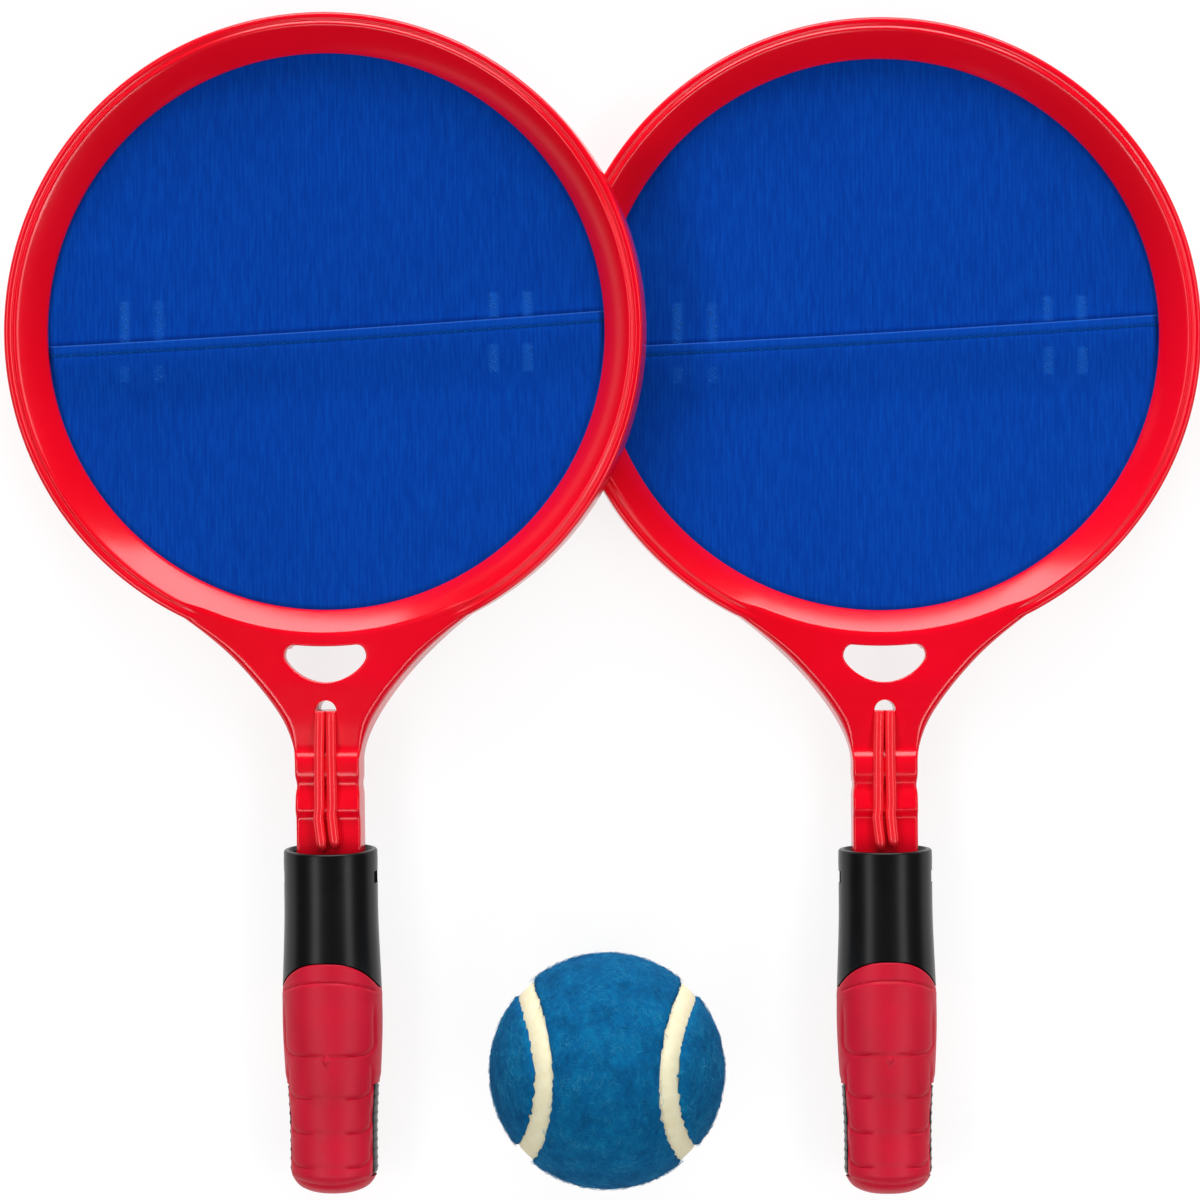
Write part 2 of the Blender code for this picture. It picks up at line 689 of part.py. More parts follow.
def grip_core():
    """The hollow grip: a bevelled mouth, snap holes, and a body sunk to take the cover."""
    sunk = COVER_THICKNESS + FIT_GAP
    hole_end = SNAP_HOLE_PLACE + SNAP_HOLE_LENGTH
    bottom = GRIP_LENGTH - sunk
    outer, inner = [], []

    def add(place, outer_sunk, inner_sunk, inner_place=None):
        angles = [grip_angle(column) for column in range(GRIP_SEGMENTS)]
        places = [place(a) if callable(place) else place for a in angles]
        outer.append([grip_point(p, a, outer_sunk) for p, a in zip(places, angles)])
        inside = places if inner_place is None else [inner_place] * GRIP_SEGMENTS
        inner.append([grip_point(p, a, inner_sunk) for p, a in zip(inside, angles)])

    add(0.0, GRIP_LIP, GRIP_WALL - 0.3 * GRIP_LIP)
    add(GRIP_LIP, 0.0, GRIP_WALL)
    add(SNAP_HOLE_PLACE, 0.0, GRIP_WALL)
    add(hole_end, 0.0, GRIP_WALL)
    add(0.6 * COVER_ARCH_FRONT, 0.0, GRIP_WALL, TANG_LENGTH + 2 * FIT_GAP)
    add(lambda angle: cover_start(angle) - FIT_GAP, 0.0, sunk + GRIP_WALL, TANG_LENGTH + GRIP_WALL)
    add(lambda angle: cover_start(angle) - FIT_GAP / 2, sunk, sunk + GRIP_WALL, TANG_LENGTH + 1.5 * GRIP_WALL)
    add(mix(COVER_ARCH_FRONT, WINDOW_START, 0.5), sunk, sunk + GRIP_WALL)
    add(WINDOW_START, sunk, sunk + GRIP_WALL)
    add(GRIP_TAIL_PLACE, sunk, sunk + GRIP_WALL)
    add(GRIP_LENGTH - GRIP_END_ROUND, sunk, sunk + GRIP_WALL)
    add(bottom - 0.2 * GRIP_END_ROUND, sunk, sunk + GRIP_WALL, bottom - 0.2 * GRIP_END_ROUND - GRIP_WALL)
    add(bottom, sunk, sunk + GRIP_WALL, bottom - GRIP_WALL)

    def keep(row, column):
        side = column in (GRIP_SEGMENTS - 1, 0, GRIP_SEGMENTS // 2 - 1, GRIP_SEGMENTS // 2)
        return not (row == 2 and side)

    core = shell(outer, inner, keep, "grip_core")
    for middle in (0.0, math.pi):
        core = combine(core, side_land(middle), "UNION")
    return core


def side_land(middle):
    """The raised strip of the core that shows through the cover's side window."""
    half_angle = grip_angle(WINDOW_COLUMNS / 2)
    gap_angle = FIT_GAP / (GRIP_TAIL_WIDTH / 2) * 1.3
    start, end = WINDOW_START + FIT_GAP, WINDOW_END - FIT_GAP
    sunk = COVER_THICKNESS + FIT_GAP
    sections = []
    for i in range(5):
        place = mix(start, end, i / 4)
        section = []
        for k in range(5):
            angle = middle + mix(-1, 1, k / 4) * (half_angle - gap_angle)
            section.append(grip_point(place, angle, WINDOW_SUNK))
        for k in range(5):
            angle = middle + mix(1, -1, k / 4) * (half_angle - gap_angle)
            section.append(grip_point(place, angle, sunk + GRIP_WALL / 2))
        sections.append(section)
    return sweep(sections, "side_land")


def grip_cover():
    """The soft cover: an arched start, a window in each side and a closed round end."""
    outer, inner = [], []

    def add(place, outer_sunk=0.0, inner_place=None):
        angles = [grip_angle(column) for column in range(GRIP_SEGMENTS)]
        places = [place(a) if callable(place) else place for a in angles]
        outer.append([grip_point(p, a, outer_sunk) for p, a in zip(places, angles)])
        inside = places if inner_place is None else [inner_place] * GRIP_SEGMENTS
        inner.append([grip_point(p, a, COVER_THICKNESS) for p, a in zip(inside, angles)])

    end_wall = GRIP_LENGTH - COVER_THICKNESS
    add(cover_start, 0.3 * COVER_THICKNESS)
    add(lambda angle: cover_start(angle) + 0.5 * COVER_THICKNESS)
    add(mix(COVER_ARCH_FRONT, WINDOW_START, 0.5))
    add(WINDOW_START)
    add(GRIP_TAIL_PLACE)
    add(WINDOW_END, 0.0)
    add(GRIP_LENGTH - 0.35 * GRIP_END_ROUND, 0.0, end_wall - 0.2 * GRIP_END_ROUND)
    add(GRIP_LENGTH - 0.1 * GRIP_END_ROUND, 0.0, end_wall - 0.05 * GRIP_END_ROUND)
    add(GRIP_LENGTH, 0.12 * GRIP_END_ROUND, end_wall)

    def keep(row, column):
        side = (column + WINDOW_COLUMNS // 2) % (GRIP_SEGMENTS // 2) < WINDOW_COLUMNS
        return not (row in (3, 4) and side)

    return shell(outer, inner, keep, "grip_cover")


def globe(radius, name):
    """A ball's round form."""
    bm = bmesh.new()
    bmesh.ops.create_uvsphere(bm, u_segments=BALL_SEGMENTS, v_segments=BALL_SEGMENTS // 2, radius=radius)
    return mesh_from(bm, name)


def seam_point(turn):
    """A point of the ball's seam on the unit sphere."""
    rest = 1 - SEAM_WAIST
    return Vector((
        SEAM_WAIST * math.cos(turn) + rest * math.cos(3 * turn),
        SEAM_WAIST * math.sin(turn) - rest * math.sin(3 * turn),
        2 * math.sqrt(SEAM_WAIST * rest) * math.sin(2 * turn),
    ))


def seam_channel():
    """A band along the whole seam, wide as the seam and deeper than the felt."""
    bm = bmesh.new()
    half_angle = SEAM_WIDTH / 2 / BALL_RADIUS
    loops = []
    for i in range(SEAM_SEGMENTS):
        turn = 2 * math.pi * i / SEAM_SEGMENTS
        point = seam_point(turn).normalized()
        ahead = (seam_point(turn + 0.01) - seam_point(turn - 0.01)).normalized()
        across = point.cross(ahead).normalized()
        loop = []
        for radius, side in ((0.8, -1), (1.2, -1), (1.2, 1), (0.8, 1)):
            direction = point * math.cos(half_angle) + across * side * math.sin(half_angle)
            loop.append(bm.verts.new(direction * radius * BALL_RADIUS))
        loops.append(loop)
    for i, loop in enumerate(loops):
        following = loops[(i + 1) % SEAM_SEGMENTS]
        for k in range(4):
            bm.faces.new((loop[k], following[k], following[(k + 1) % 4], loop[(k + 1) % 4]))
    return mesh_from(bm, "seam_channel")


def felt_pair():
    """The two dumbbell-shaped felts that close around the ball."""
    felt = combine(globe(BALL_RADIUS, "felt"), seam_channel(), "DIFFERENCE")
    felt = combine(felt, globe(BALL_RADIUS - FELT_THICKNESS, "felt_inside"), "DIFFERENCE")
    bm = bmesh.new()
    bm.from_mesh(felt)
    islands = []
    waiting = set(bm.faces)
    while waiting:
        reached = [waiting.pop()]
        island = []
        while reached:
            face = reached.pop()
            island.append(face)
            for edge in face.edges:
                for near in edge.link_faces:
                    if near in waiting:
                        waiting.remove(near)
                        reached.append(near)
        islands.append(island)
    islands.sort(key=lambda island: max(vert.co.z for face in island for vert in face.verts))
    meshes = []
    for number, island in enumerate(islands):
        piece = bmesh.new()
        copies = {}
        for face in island:
            for vert in face.verts:
                if vert not in copies:
                    copies[vert] = piece.verts.new(vert.co)
            piece.faces.new([copies[vert] for vert in face.verts])
        meshes.append(mesh_from(piece, f"felt_{number}"))
    bm.free()
    return meshes


def grip_drop(place):
    """How far the grip's underside lies below the ring's back plane."""
    return grip_half_width(place) * GRIP_FLATNESS - NECK_MIDDLE


def grip_places():
    return [GRIP_LENGTH * i / 100 for i in range(101)]


def level_slope():
    """Fall from grip to head of the racket that lies alone, on its far rim and its grip."""
    reach = HEAD_LENGTH / 2
    return max(grip_drop(place) / (reach + GRIP_MOUTH + place) for place in grip_places())


def crest_points(lift, fall):
    """Points of the lower racket's crest beside the upper one's middle, with their heights."""
    points = []
    height = RING_DEPTH - BEAD_SUNK
    turn = RACKET_TURN
    shift = (RACKET_SPACING * math.cos(turn), -RACKET_SPACING * math.sin(turn))
    for radius in (HEAD_RADIUS - BEAD_RADIUS, HEAD_RADIUS - BEAD_RADIUS - BEAD_SPACING):
        for degrees in range(-60, 61):
            angle = math.radians(180 + degrees)
            x, y = radius * math.cos(angle), radius * math.sin(angle) * HEAD_RATIO
            points.append((shift[0] + x, shift[1] + y, lift - fall * y + height))
    return points


def leaning_slopes():
    """Slopes and height of the racket whose head rests on the other one's rim."""
    fall = level_slope()
    lift = fall * HEAD_LENGTH / 2
    crest = crest_points(lift, fall)
    inner = OPENING_RADIUS + FIT_GAP
    roll, pitch, height = 0.08, 0.01, 0.0
    for _ in range(60):
        height = math.hypot(roll * HEAD_WIDTH / 2, pitch * HEAD_LENGTH / 2)
        pitch = min((height - grip_drop(place)) / (GRIP_MOUTH + place) for place in grip_places())
        wanted = []
        for x, y, z in crest:
            if inner < math.hypot(x, y / HEAD_RATIO) < HEAD_RADIUS + FIT_GAP:
                wanted.append((z + 1.2 * FIT_GAP - height - pitch * y) / x)
        roll = mix(roll, max(wanted), 0.5)
    return roll, pitch, height


def plane_matrix(place, roll, pitch, height):
    """Stand a racket's frame on a sloping plane above a place on the floor."""
    along_x = Vector((1.0, 0.0, roll)).normalized()
    normal = Vector((-roll, -pitch, 1.0)).normalized()
    along_y = normal.cross(along_x)
    tilt = Matrix((along_x, along_y, normal)).transposed().to_4x4()
    turn = Matrix.Rotation(RACKET_TURN, 4, "Z")
    return Matrix.Translation((*place, height)) @ turn @ tilt


def lowest(objects):
    """The lowest height of some objects' vertices in the world."""
    return min((o.matrix_world @ v.co).z for o in objects for v in o.data.vertices)


def place_group(name, matrix, pieces):
    """Hang the pieces of one thing on an empty at its place, and set it on the floor."""
    holder = bpy.data.objects.new(name, None)
    bpy.context.scene.collection.objects.link(holder)
    holder.matrix_world = matrix
    made = []
    for piece_name, mesh, finish in pieces:
        piece = bpy.data.objects.new(piece_name, mesh)
        bpy.context.scene.collection.objects.link(piece)
        if not mesh.materials:
            mesh.materials.append(finish)
        piece.parent = holder
        made.append(piece)
    bpy.context.view_layer.update()
    holder.location.z -= lowest(made)
    return holder, made


def build():
    """Make the set, each piece an object, with the origin under the middle of the whole."""
    for old in list(bpy.data.objects):
        bpy.data.objects.remove(old)
    red = material("frame_red", srgb(225, 6, 32), 0.28)
    rear_red = material("rear_ring_red", srgb(225, 6, 32), 0.35)
    blue = material("face_blue", srgb(6, 62, 165), 0.9)
    strap_blue = material("strap_blue", srgb(10, 50, 140), 0.9)
    black = material("core_black", srgb(22, 22, 22), 0.35)
    crimson = material("cover_crimson", srgb(198, 28, 52), 0.55)
    cream = material("seam_cream", srgb(236, 224, 188), 0.9)
    teal = material("felt_teal", srgb(8, 98, 152), 0.95)

    racket = (
        ("frame", frame(), red),
        ("rear_ring", revolve(rear_ring_profile(), "rear_ring"), rear_red),
        ("upper_panel", upper_panel(), blue),
        ("lower_panel", lower_panel(), blue),
        ("hand_strap", hand_strap(), strap_blue),
        ("grip_core", grip_core(), black),
        ("grip_cover", grip_cover(), crimson),
    )
    roll, pitch, height = leaning_slopes()
    fall = level_slope()
    poses = {
        "left": plane_matrix((-RACKET_SPACING / 2, 0.0), roll, pitch, height),
        "right": plane_matrix((RACKET_SPACING / 2, 0.0), 0.0, -fall, fall * HEAD_LENGTH / 2),
    }
    holders, pieces = [], []
    for side, pose in poses.items():
        named = [(f"{side}_{name}", mesh, finish) for name, mesh, finish in racket]
        holder, made = place_group(f"{side}_racket", pose, named)
        holders.append(holder)
        pieces += made

    felt_low, felt_high = felt_pair()
    ball = (
        ("ball_core", globe(BALL_RADIUS - FELT_THICKNESS - FIT_GAP, "ball_core"), cream),
        ("ball_felt_low", felt_low, teal),
        ("ball_felt_high", felt_high, teal),
    )
    pose = Matrix.Translation((BALL_ASIDE, -BALL_BELOW, BALL_RADIUS))
    pose = pose @ Matrix.Rotation(BALL_LEAN, 4, "Y") @ Matrix.Rotation(BALL_TURN, 4, "Z")
    holder, made = place_group("ball", pose, ball)
    holders.append(holder)
    pieces += made

    bpy.context.view_layer.update()
    corners = [piece.matrix_world @ v.co for piece in pieces for v in piece.data.vertices]
    middle = [(min(c[k] for c in corners) + max(c[k] for c in corners)) / 2 for k in range(2)]
    for holder in holders:
        holder.location.x -= middle[0]
        holder.location.y -= middle[1]
    bpy.context.view_layer.update()


build()
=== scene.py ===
# %% [markdown]
# A hook and loop catch set: two red rackets with blue cloth faces and a felt ball.
# The solids come in first, as a frame that never moves. Each of them is then replaced by a finer
# piece in the same place, so the set keeps its real size.

import random
from math import asin, cos, exp, hypot, pi, radians, sin, sqrt, tan

import bmesh
import bpy
import numpy as np
from mathutils import Matrix, Vector, noise
from mathutils.kdtree import KDTree


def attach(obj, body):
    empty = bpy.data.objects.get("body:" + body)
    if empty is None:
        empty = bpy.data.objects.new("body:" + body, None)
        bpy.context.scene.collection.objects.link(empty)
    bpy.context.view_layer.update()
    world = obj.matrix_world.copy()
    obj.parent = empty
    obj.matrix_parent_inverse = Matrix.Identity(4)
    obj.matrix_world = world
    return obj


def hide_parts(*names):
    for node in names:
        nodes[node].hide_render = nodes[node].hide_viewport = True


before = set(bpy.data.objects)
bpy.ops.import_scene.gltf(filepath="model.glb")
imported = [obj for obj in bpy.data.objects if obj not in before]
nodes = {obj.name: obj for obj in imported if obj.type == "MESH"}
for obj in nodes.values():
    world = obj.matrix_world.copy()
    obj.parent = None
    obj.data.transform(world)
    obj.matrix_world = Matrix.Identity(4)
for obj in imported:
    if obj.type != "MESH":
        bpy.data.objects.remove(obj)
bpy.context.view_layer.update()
MM = 0.001
print("solids:", len(nodes))

# %% [markdown]
# A racket lies a little tilted, so it is easiest to build it flat, in its own frame, and to lay it
# down afterwards. The rear ring is round and flat: its middle, and the direction in which its points
# spread least, give that frame. The grip shows which way is down.


# %% Find how each racket lies
def node_points(name):
    """Every different point of a solid, as rows of numbers."""
    points = np.array([vert.co[:] for vert in nodes[name].data.vertices])
    return np.unique(np.round(points, 6), axis=0)


def racket_pose(side):
    """The matrix that lays a racket, built flat with its grip toward -Y, where the solids lie."""
    ring = node_points(f"{side}_rear_ring")
    middle = ring.mean(axis=0)
    normal = np.linalg.svd(ring - middle)[2][2]
    normal = normal * np.sign(normal[2])
    back = ((ring - middle) @ normal).min()
    up_racket = middle - node_points(f"{side}_grip_core").mean(axis=0)
    up_racket = up_racket - normal * (up_racket @ normal)
    up_racket /= np.linalg.norm(up_racket)
    aside = np.cross(up_racket, normal)
    pose = Matrix.Identity(4)
    for row in range(3):
        pose[row] = (aside[row], up_racket[row], normal[row], middle[row] + normal[row] * back)
    return pose


POSES = {side: racket_pose(side) for side in ("left", "right")}
for side, pose in POSES.items():
    print(side, "racket lies at", [round(c / MM, 2) for c in pose.translation], "mm")

# %% [markdown]
# The sizes of one racket, in its own frame: X to the right, Y from the grip to the head, Z to the
# front. Nearly all are the sizes that the solids were built from.

# %% Sizes of the head
HEAD_RADIUS = 85.0 * MM
HEAD_RATIO = 167.8 / 170.0
RING_EDGE = HEAD_RADIUS * HEAD_RATIO
RING_DEPTH = 13.0 * MM
RING_WALL = 1.8 * MM
BEAD_SUNK = 0.15 * MM
OPENING_RADIUS = HEAD_RADIUS - 10.4 * MM
FLANGE_TOP = 6.6 * MM
FLANGE_BACK = 5.2 * MM
RIM_BULGE = 0.3 * MM
FIT_GAP = 0.3 * MM
FABRIC_FRONT = 4.9 * MM
FABRIC_BACK = 3.7 * MM
PANEL_RADIUS = OPENING_RADIUS + 3.8 * MM
print("head:", round(2 * HEAD_RADIUS / MM, 1), "mm wide,", round(RING_DEPTH / MM, 1), "mm deep")

# %% Sizes of the throat and the neck
THROAT_ANGLE = radians(30.5)
THROAT_END = RING_EDGE + 29.9 * MM
THROAT_BACK = 2.0 * MM
MOULD_WALL = 1.8 * MM
NECK_WIDTH = 17.4 * MM
NECK_FRONT = 10.2 * MM
GRIP_MOUTH = RING_EDGE + 54.1 * MM
TANG_LENGTH = 26.0 * MM
NECK_MIDDLE = 6.5 * MM
NUB_REACH = 10.9 * MM
SLOT_TOP_INSET = 0.9 * MM
SLOT_HALF = 10.9 * MM
SLOT_WIDEST = RING_EDGE + 1.7 * MM
SLOT_BOTTOM = SLOT_WIDEST + 7.0 * MM
EYE_MIDDLE = RING_EDGE + 16.2 * MM
EYE_RADIUS = 2.8 * MM
print("neck:", round(NECK_WIDTH / MM, 1), "mm wide")


# %% Small helpers for shapes
def mix(start, end, share):
    return start + (end - start) * share


def smooth(share):
    """Ease from 0 to 1 with level ends."""
    share = min(max(share, 0.0), 1.0)
    return share * share * (3 - 2 * share)


def along(points, place):
    """The value at a place, read from (place, value) pairs joined by straight lines."""
    for (first, low), (second, high) in zip(points, points[1:]):
        if place <= second:
            return mix(low, high, min(max((place - first) / (second - first), 0.0), 1.0))
    return points[-1][1]


def bezier(first, first_pull, last_pull, last, steps):
    """Points on a cubic curve between two points and their handles."""
    pulls = (first, first_pull, last_pull, last)
    points = []
    for i in range(steps + 1):
        t = i / steps
        u = 1 - t
        weights = (u ** 3, 3 * u * u * t, 3 * u * t * t, t ** 3)
        points.append(tuple(sum(w * p[k] for w, p in zip(weights, pulls)) for k in range(2)))
    return points


def quarter(steps, radius, first=0):
    """How far in and how far down the points of a quarter round lie."""
    angles = [radians(90 * i / steps) for i in range(first, steps + 1)]
    return [(radius * (1 - cos(angle)), radius * (1 - sin(angle))) for angle in angles]


def head_point(radius, angle):
    """A point of the head, its angle counted from the grip's direction."""
    return (radius * sin(angle), -radius * cos(angle) * HEAD_RATIO)


def finish_mesh(bm, name, crease=40):
    """Turn a closed form into a mesh with outward faces and smooth round sides."""
    bmesh.ops.remove_doubles(bm, verts=bm.verts, dist=1e-7)
    bmesh.ops.recalc_face_normals(bm, faces=bm.faces)
    mesh = bpy.data.meshes.new(name)
    bm.to_mesh(mesh)
    bm.free()
    mesh.shade_smooth()
    mesh.set_sharp_from_angle(angle=radians(crease))
    return mesh


def bridge(bm, near, far):
    """Join two loops that have the same number of points."""
    count = len(near)
    for k in range(count):
        bm.faces.new((near[k], near[(k + 1) % count], far[(k + 1) % count], far[k]))


def loft(sections, name, ring=False, crease=40):
    """Join sections that have the same number of points, either end to end or in a ring."""
    bm = bmesh.new()
    loops = [[bm.verts.new(point) for point in section] for section in sections]
    if ring:
        loops.append(loops[0])
    else:
        bm.faces.new(loops[0])
        bm.faces.new(loops[-1])
    for near, far in zip(loops, loops[1:]):
        bridge(bm, near, far)
    return finish_mesh(bm, name, crease)


def add_tube(bm, loops):
    """Add a thin tube through loops of points, closed at both ends."""
    loops = [[bm.verts.new(point) for point in loop] for loop in loops]
    for near, far in zip(loops, loops[1:]):
        bridge(bm, near, far)
    bm.faces.new(loops[0])
    bm.faces.new(loops[-1])


def double_skin(bm, inside):
    """Close an open skin with a rim and an inner side, whose points a function gives."""
    loose = [vert for vert in bm.verts if not vert.link_faces]
    bmesh.ops.delete(bm, geom=loose, context="VERTS")
    faces = list(bm.faces)
    under = {vert: bm.verts.new(inside(vert)) for vert in list(bm.verts)}
    rims = [edge for edge in bm.edges if len(edge.link_faces) == 1]
    for face in faces:
        bm.faces.new([under[vert] for vert in reversed(face.verts)])
    for edge in rims:
        near, far = edge.verts
        bm.faces.new((near, far, under[far], under[near]))
    return under


def prism(outline, low, high, name):
    return loft([[(x, y, z) for x, y in outline] for z in (low, high)], name)


def combine(base, tool, operation):
    """Join or cut two meshes and return the result as a new mesh."""
    helpers = [bpy.data.objects.new("combine", mesh) for mesh in (base, tool)]
    for helper in helpers:
        bpy.context.scene.collection.objects.link(helper)
    modifier = helpers[0].modifiers.new("combine", "BOOLEAN")
    modifier.operation = operation
    modifier.solver = "EXACT"
    modifier.object = helpers[1]
    bpy.context.view_layer.update()
    graph = bpy.context.evaluated_depsgraph_get()
    result = bpy.data.meshes.new_from_object(helpers[0].evaluated_get(graph))
    result.name = base.name
    for helper, mesh in zip(helpers, (base, tool)):
        bpy.data.objects.remove(helper)
        bpy.data.meshes.remove(mesh)
    bm = bmesh.new()
    bm.from_mesh(result)
    bmesh.ops.remove_doubles(bm, verts=bm.verts, dist=0.002 * MM)
    bmesh.ops.dissolve_degenerate(bm, edges=bm.edges, dist=0.002 * MM)
    bm.to_mesh(result)
    bm.free()
    result.set_sharp_from_angle(angle=radians(40))
    return result


# %% [markdown]
# Materials come next. Each is a Principled shader with its own grain: noise and waves, read in the
# piece's own coordinates, feed its colour, its roughness and its bump. A small class makes the nodes
# and joins them, so that each recipe reads like a list.

# %% Helpers for materials
def srgb(red, green, blue):
    """Turn a colour given in 0 to 255 into Blender's linear colour."""
    def channel(value):
        value /= 255
        return value / 12.92 if value <= 0.04045 else ((value + 0.055) / 1.055) ** 2.4
    return (channel(red), channel(green), channel(blue), 1.0)


SIGNS = {"+": "ADD", "-": "SUBTRACT", "*": "MULTIPLY", "/": "DIVIDE"}


class Recipe:
    """A material whose nodes are added one by one."""

    def __init__(self, name, roughness, **sockets):
        self.material = bpy.data.materials.new(name)
        self.material.use_nodes = True
        self.tree = self.material.node_tree
        self.shader = self.tree.nodes["Principled BSDF"]
        self.shader.inputs["Roughness"].default_value = roughness
        for socket, value in sockets.items():
            self.shader.inputs[socket.replace("_", " ")].default_value = value
        self.place = self.tree.nodes.new("ShaderNodeTexCoord").outputs["Object"]

    def node(self, kind, inputs=None, **settings):
        """Add a node with its settings, and give each input its value or link."""
        made = self.tree.nodes.new(f"ShaderNode{kind}")
        for key, value in settings.items():
            setattr(made, key, value)
        for key, value in (inputs or {}).items():
            if isinstance(value, bpy.types.NodeSocket):
                self.tree.links.new(value, made.inputs[key])
            elif value is not None:
                made.inputs[key].default_value = value
        return made

    def stretch(self, scale, turn=(0.0, 0.0, 0.0)):
        """The piece's coordinates, scaled along each axis."""
        inputs = {"Scale": scale, "Rotation": turn, "Vector": self.place}
        return self.node("Mapping", inputs).outputs["Vector"]

    def axes(self):
        """The piece's coordinates, one by one."""
        return self.node("SeparateXYZ", {"Vector": self.place}).outputs

    def grain(self, scale, detail=3.0, vector=None, roughness=0.5):
        """Noise with about scale patches to a metre."""
        inputs = {"Scale": scale, "Detail": detail, "Roughness": roughness}
        inputs["Vector"] = vector or self.place
        return self.node("TexNoise", inputs).outputs["Fac"]

    def wave(self, scale, distortion, direction, offset=0.0):
        """Stripes that follow each other in a direction."""
        inputs = {"Scale": scale, "Distortion": distortion, "Phase Offset": offset}
        inputs["Vector"] = self.place
        return self.node("TexWave", inputs, bands_direction=direction).outputs["Fac"]

    def ramp(self, source, *stops):
        """Turn a value into colours by stops: a place, and a colour in 0 to 255 or a grey."""
        made = self.node("ValToRGB", {"Fac": source})
        elements = made.color_ramp.elements
        stops = [(place, shade if len(shade) == 4 else srgb(*shade)) for place, shade in stops]
        elements[0].position, elements[0].color = stops[0]
        elements[1].position, elements[1].color = stops[-1]
        for place, shade in stops[1:-1]:
            elements.new(place).color = shade
        return made.outputs["Color"]

    def calc(self, first, sign, second=None, clamp=False):
        """A sum, product or the like of two values or outputs."""
        kind = SIGNS.get(sign, sign)
        made = self.node("Math", {0: first, 1: second}, operation=kind, use_clamp=clamp)
        return made.outputs["Value"]

    def blend(self, share, first, second, how="MIX"):
        """Mix two colours by a share."""
        made = self.node("Mix", {0: share, 6: first, 7: second}, data_type="RGBA", blend_type=how)
        return made.outputs[2]

    def colour(self, source):
        self.tree.links.new(source, self.shader.inputs["Base Color"])

    def rough(self, source, low, high):
        """Let the roughness wander between two values."""
        spread = self.node("MapRange", {"To Min": low, "To Max": high, "Value": source})
        self.tree.links.new(spread.outputs["Result"], self.shader.inputs["Roughness"])

    def bump(self, source, height, strength=1.0):
        """Raise the surface by a height in metres where the source is 1."""
        made = self.node("Bump", {"Strength": strength, "Distance": height, "Height": source})
        before = self.shader.inputs["Normal"]
        if before.is_linked:
            self.tree.links.new(before.links[0].from_socket, made.inputs["Normal"])
        self.tree.links.new(made.outputs["Normal"], before)


def grey(value):
    return (value, value, value, 1.0)


# %% [markdown]
# The red moulding is a glossy plastic. A gentle unevenness in its colour and gloss, and a hardly
# visible waviness, keep it from looking like paint. The ring at the back is the same plastic with
# a satin finish.

# %% Red plastic
RIB_HIGHLIGHT_START = 11.7 * MM
RIB_HIGHLIGHT_REACH = RING_EDGE + 14.0 * MM


def red_plastic(name, roughness):
    """Glossy red, with a painted highlight: a lighter red on the tops of the neck's ribs, where they
    catch the light.
    """
    recipe = Recipe(name, roughness, IOR=1.5)
    body = recipe.ramp(recipe.grain(22.0, 2.0), (0.3, (240, 2, 29)), (0.7, (249, 4, 37)))
    axes = recipe.axes()
    # Painted highlight: high on the neck, below the eye, the red is blended toward a lighter red,
    # standing in for the light that the ribs' tops catch.
    raised = recipe.calc(recipe.calc(axes["Z"], "-", RIB_HIGHLIGHT_START), "/", 0.8 * MM, clamp=True)
    past = recipe.calc(-RIB_HIGHLIGHT_REACH, "-", axes["Y"])
    below = recipe.calc(past, "/", 2.0 * MM, clamp=True)
    recipe.colour(recipe.blend(recipe.calc(raised, "*", below), body, srgb(255, 38, 50)))
    recipe.rough(recipe.grain(260.0, 4.0), roughness - 0.02, roughness + 0.04)
    recipe.bump(recipe.grain(60.0, 2.0), 0.00012, 0.35)
    recipe.bump(recipe.grain(2600.0, 2.0), 0.000006, 0.5)
    return recipe.material


RED = red_plastic("glossy_red", 0.17)
SATIN_RED = red_plastic("satin_red", 0.3)
print("made", RED.name, "and", SATIN_RED.name)

# %% [markdown]
# The ring of the frame is a turned form, so its section is drawn once and carried round. Along the
# throat its two beads sink into a flat land, which is done by easing each section from the beaded
# one to the flat one by its angle.

# %% Section of the ring
SLOPE_STEPS = 12
RING_SEGMENTS = 288
FLAT_LIMIT = THROAT_ANGLE - radians(0.8)
FLAT_BLEND = radians(7.0)
PLATE_FRONT = 12.3 * MM
OUTER_ROUND = 1.0 * MM
BEAD_CREST = 83.5 * MM
BEAD_PITCH = 1.6 * MM
BEAD_DEPTH = 0.32 * MM
# In millimetres, each at the beads and on the flat land: radius and sink of the bead's foot and of
# the crest's end.
BEAD_FOOT = (81.63, 80.45)
BEAD_FOOT_SUNK = (0.06, 0.05)
CREST_END = (81.35, 80.15)
CREST_END_SUNK = (0.18, 0.3)


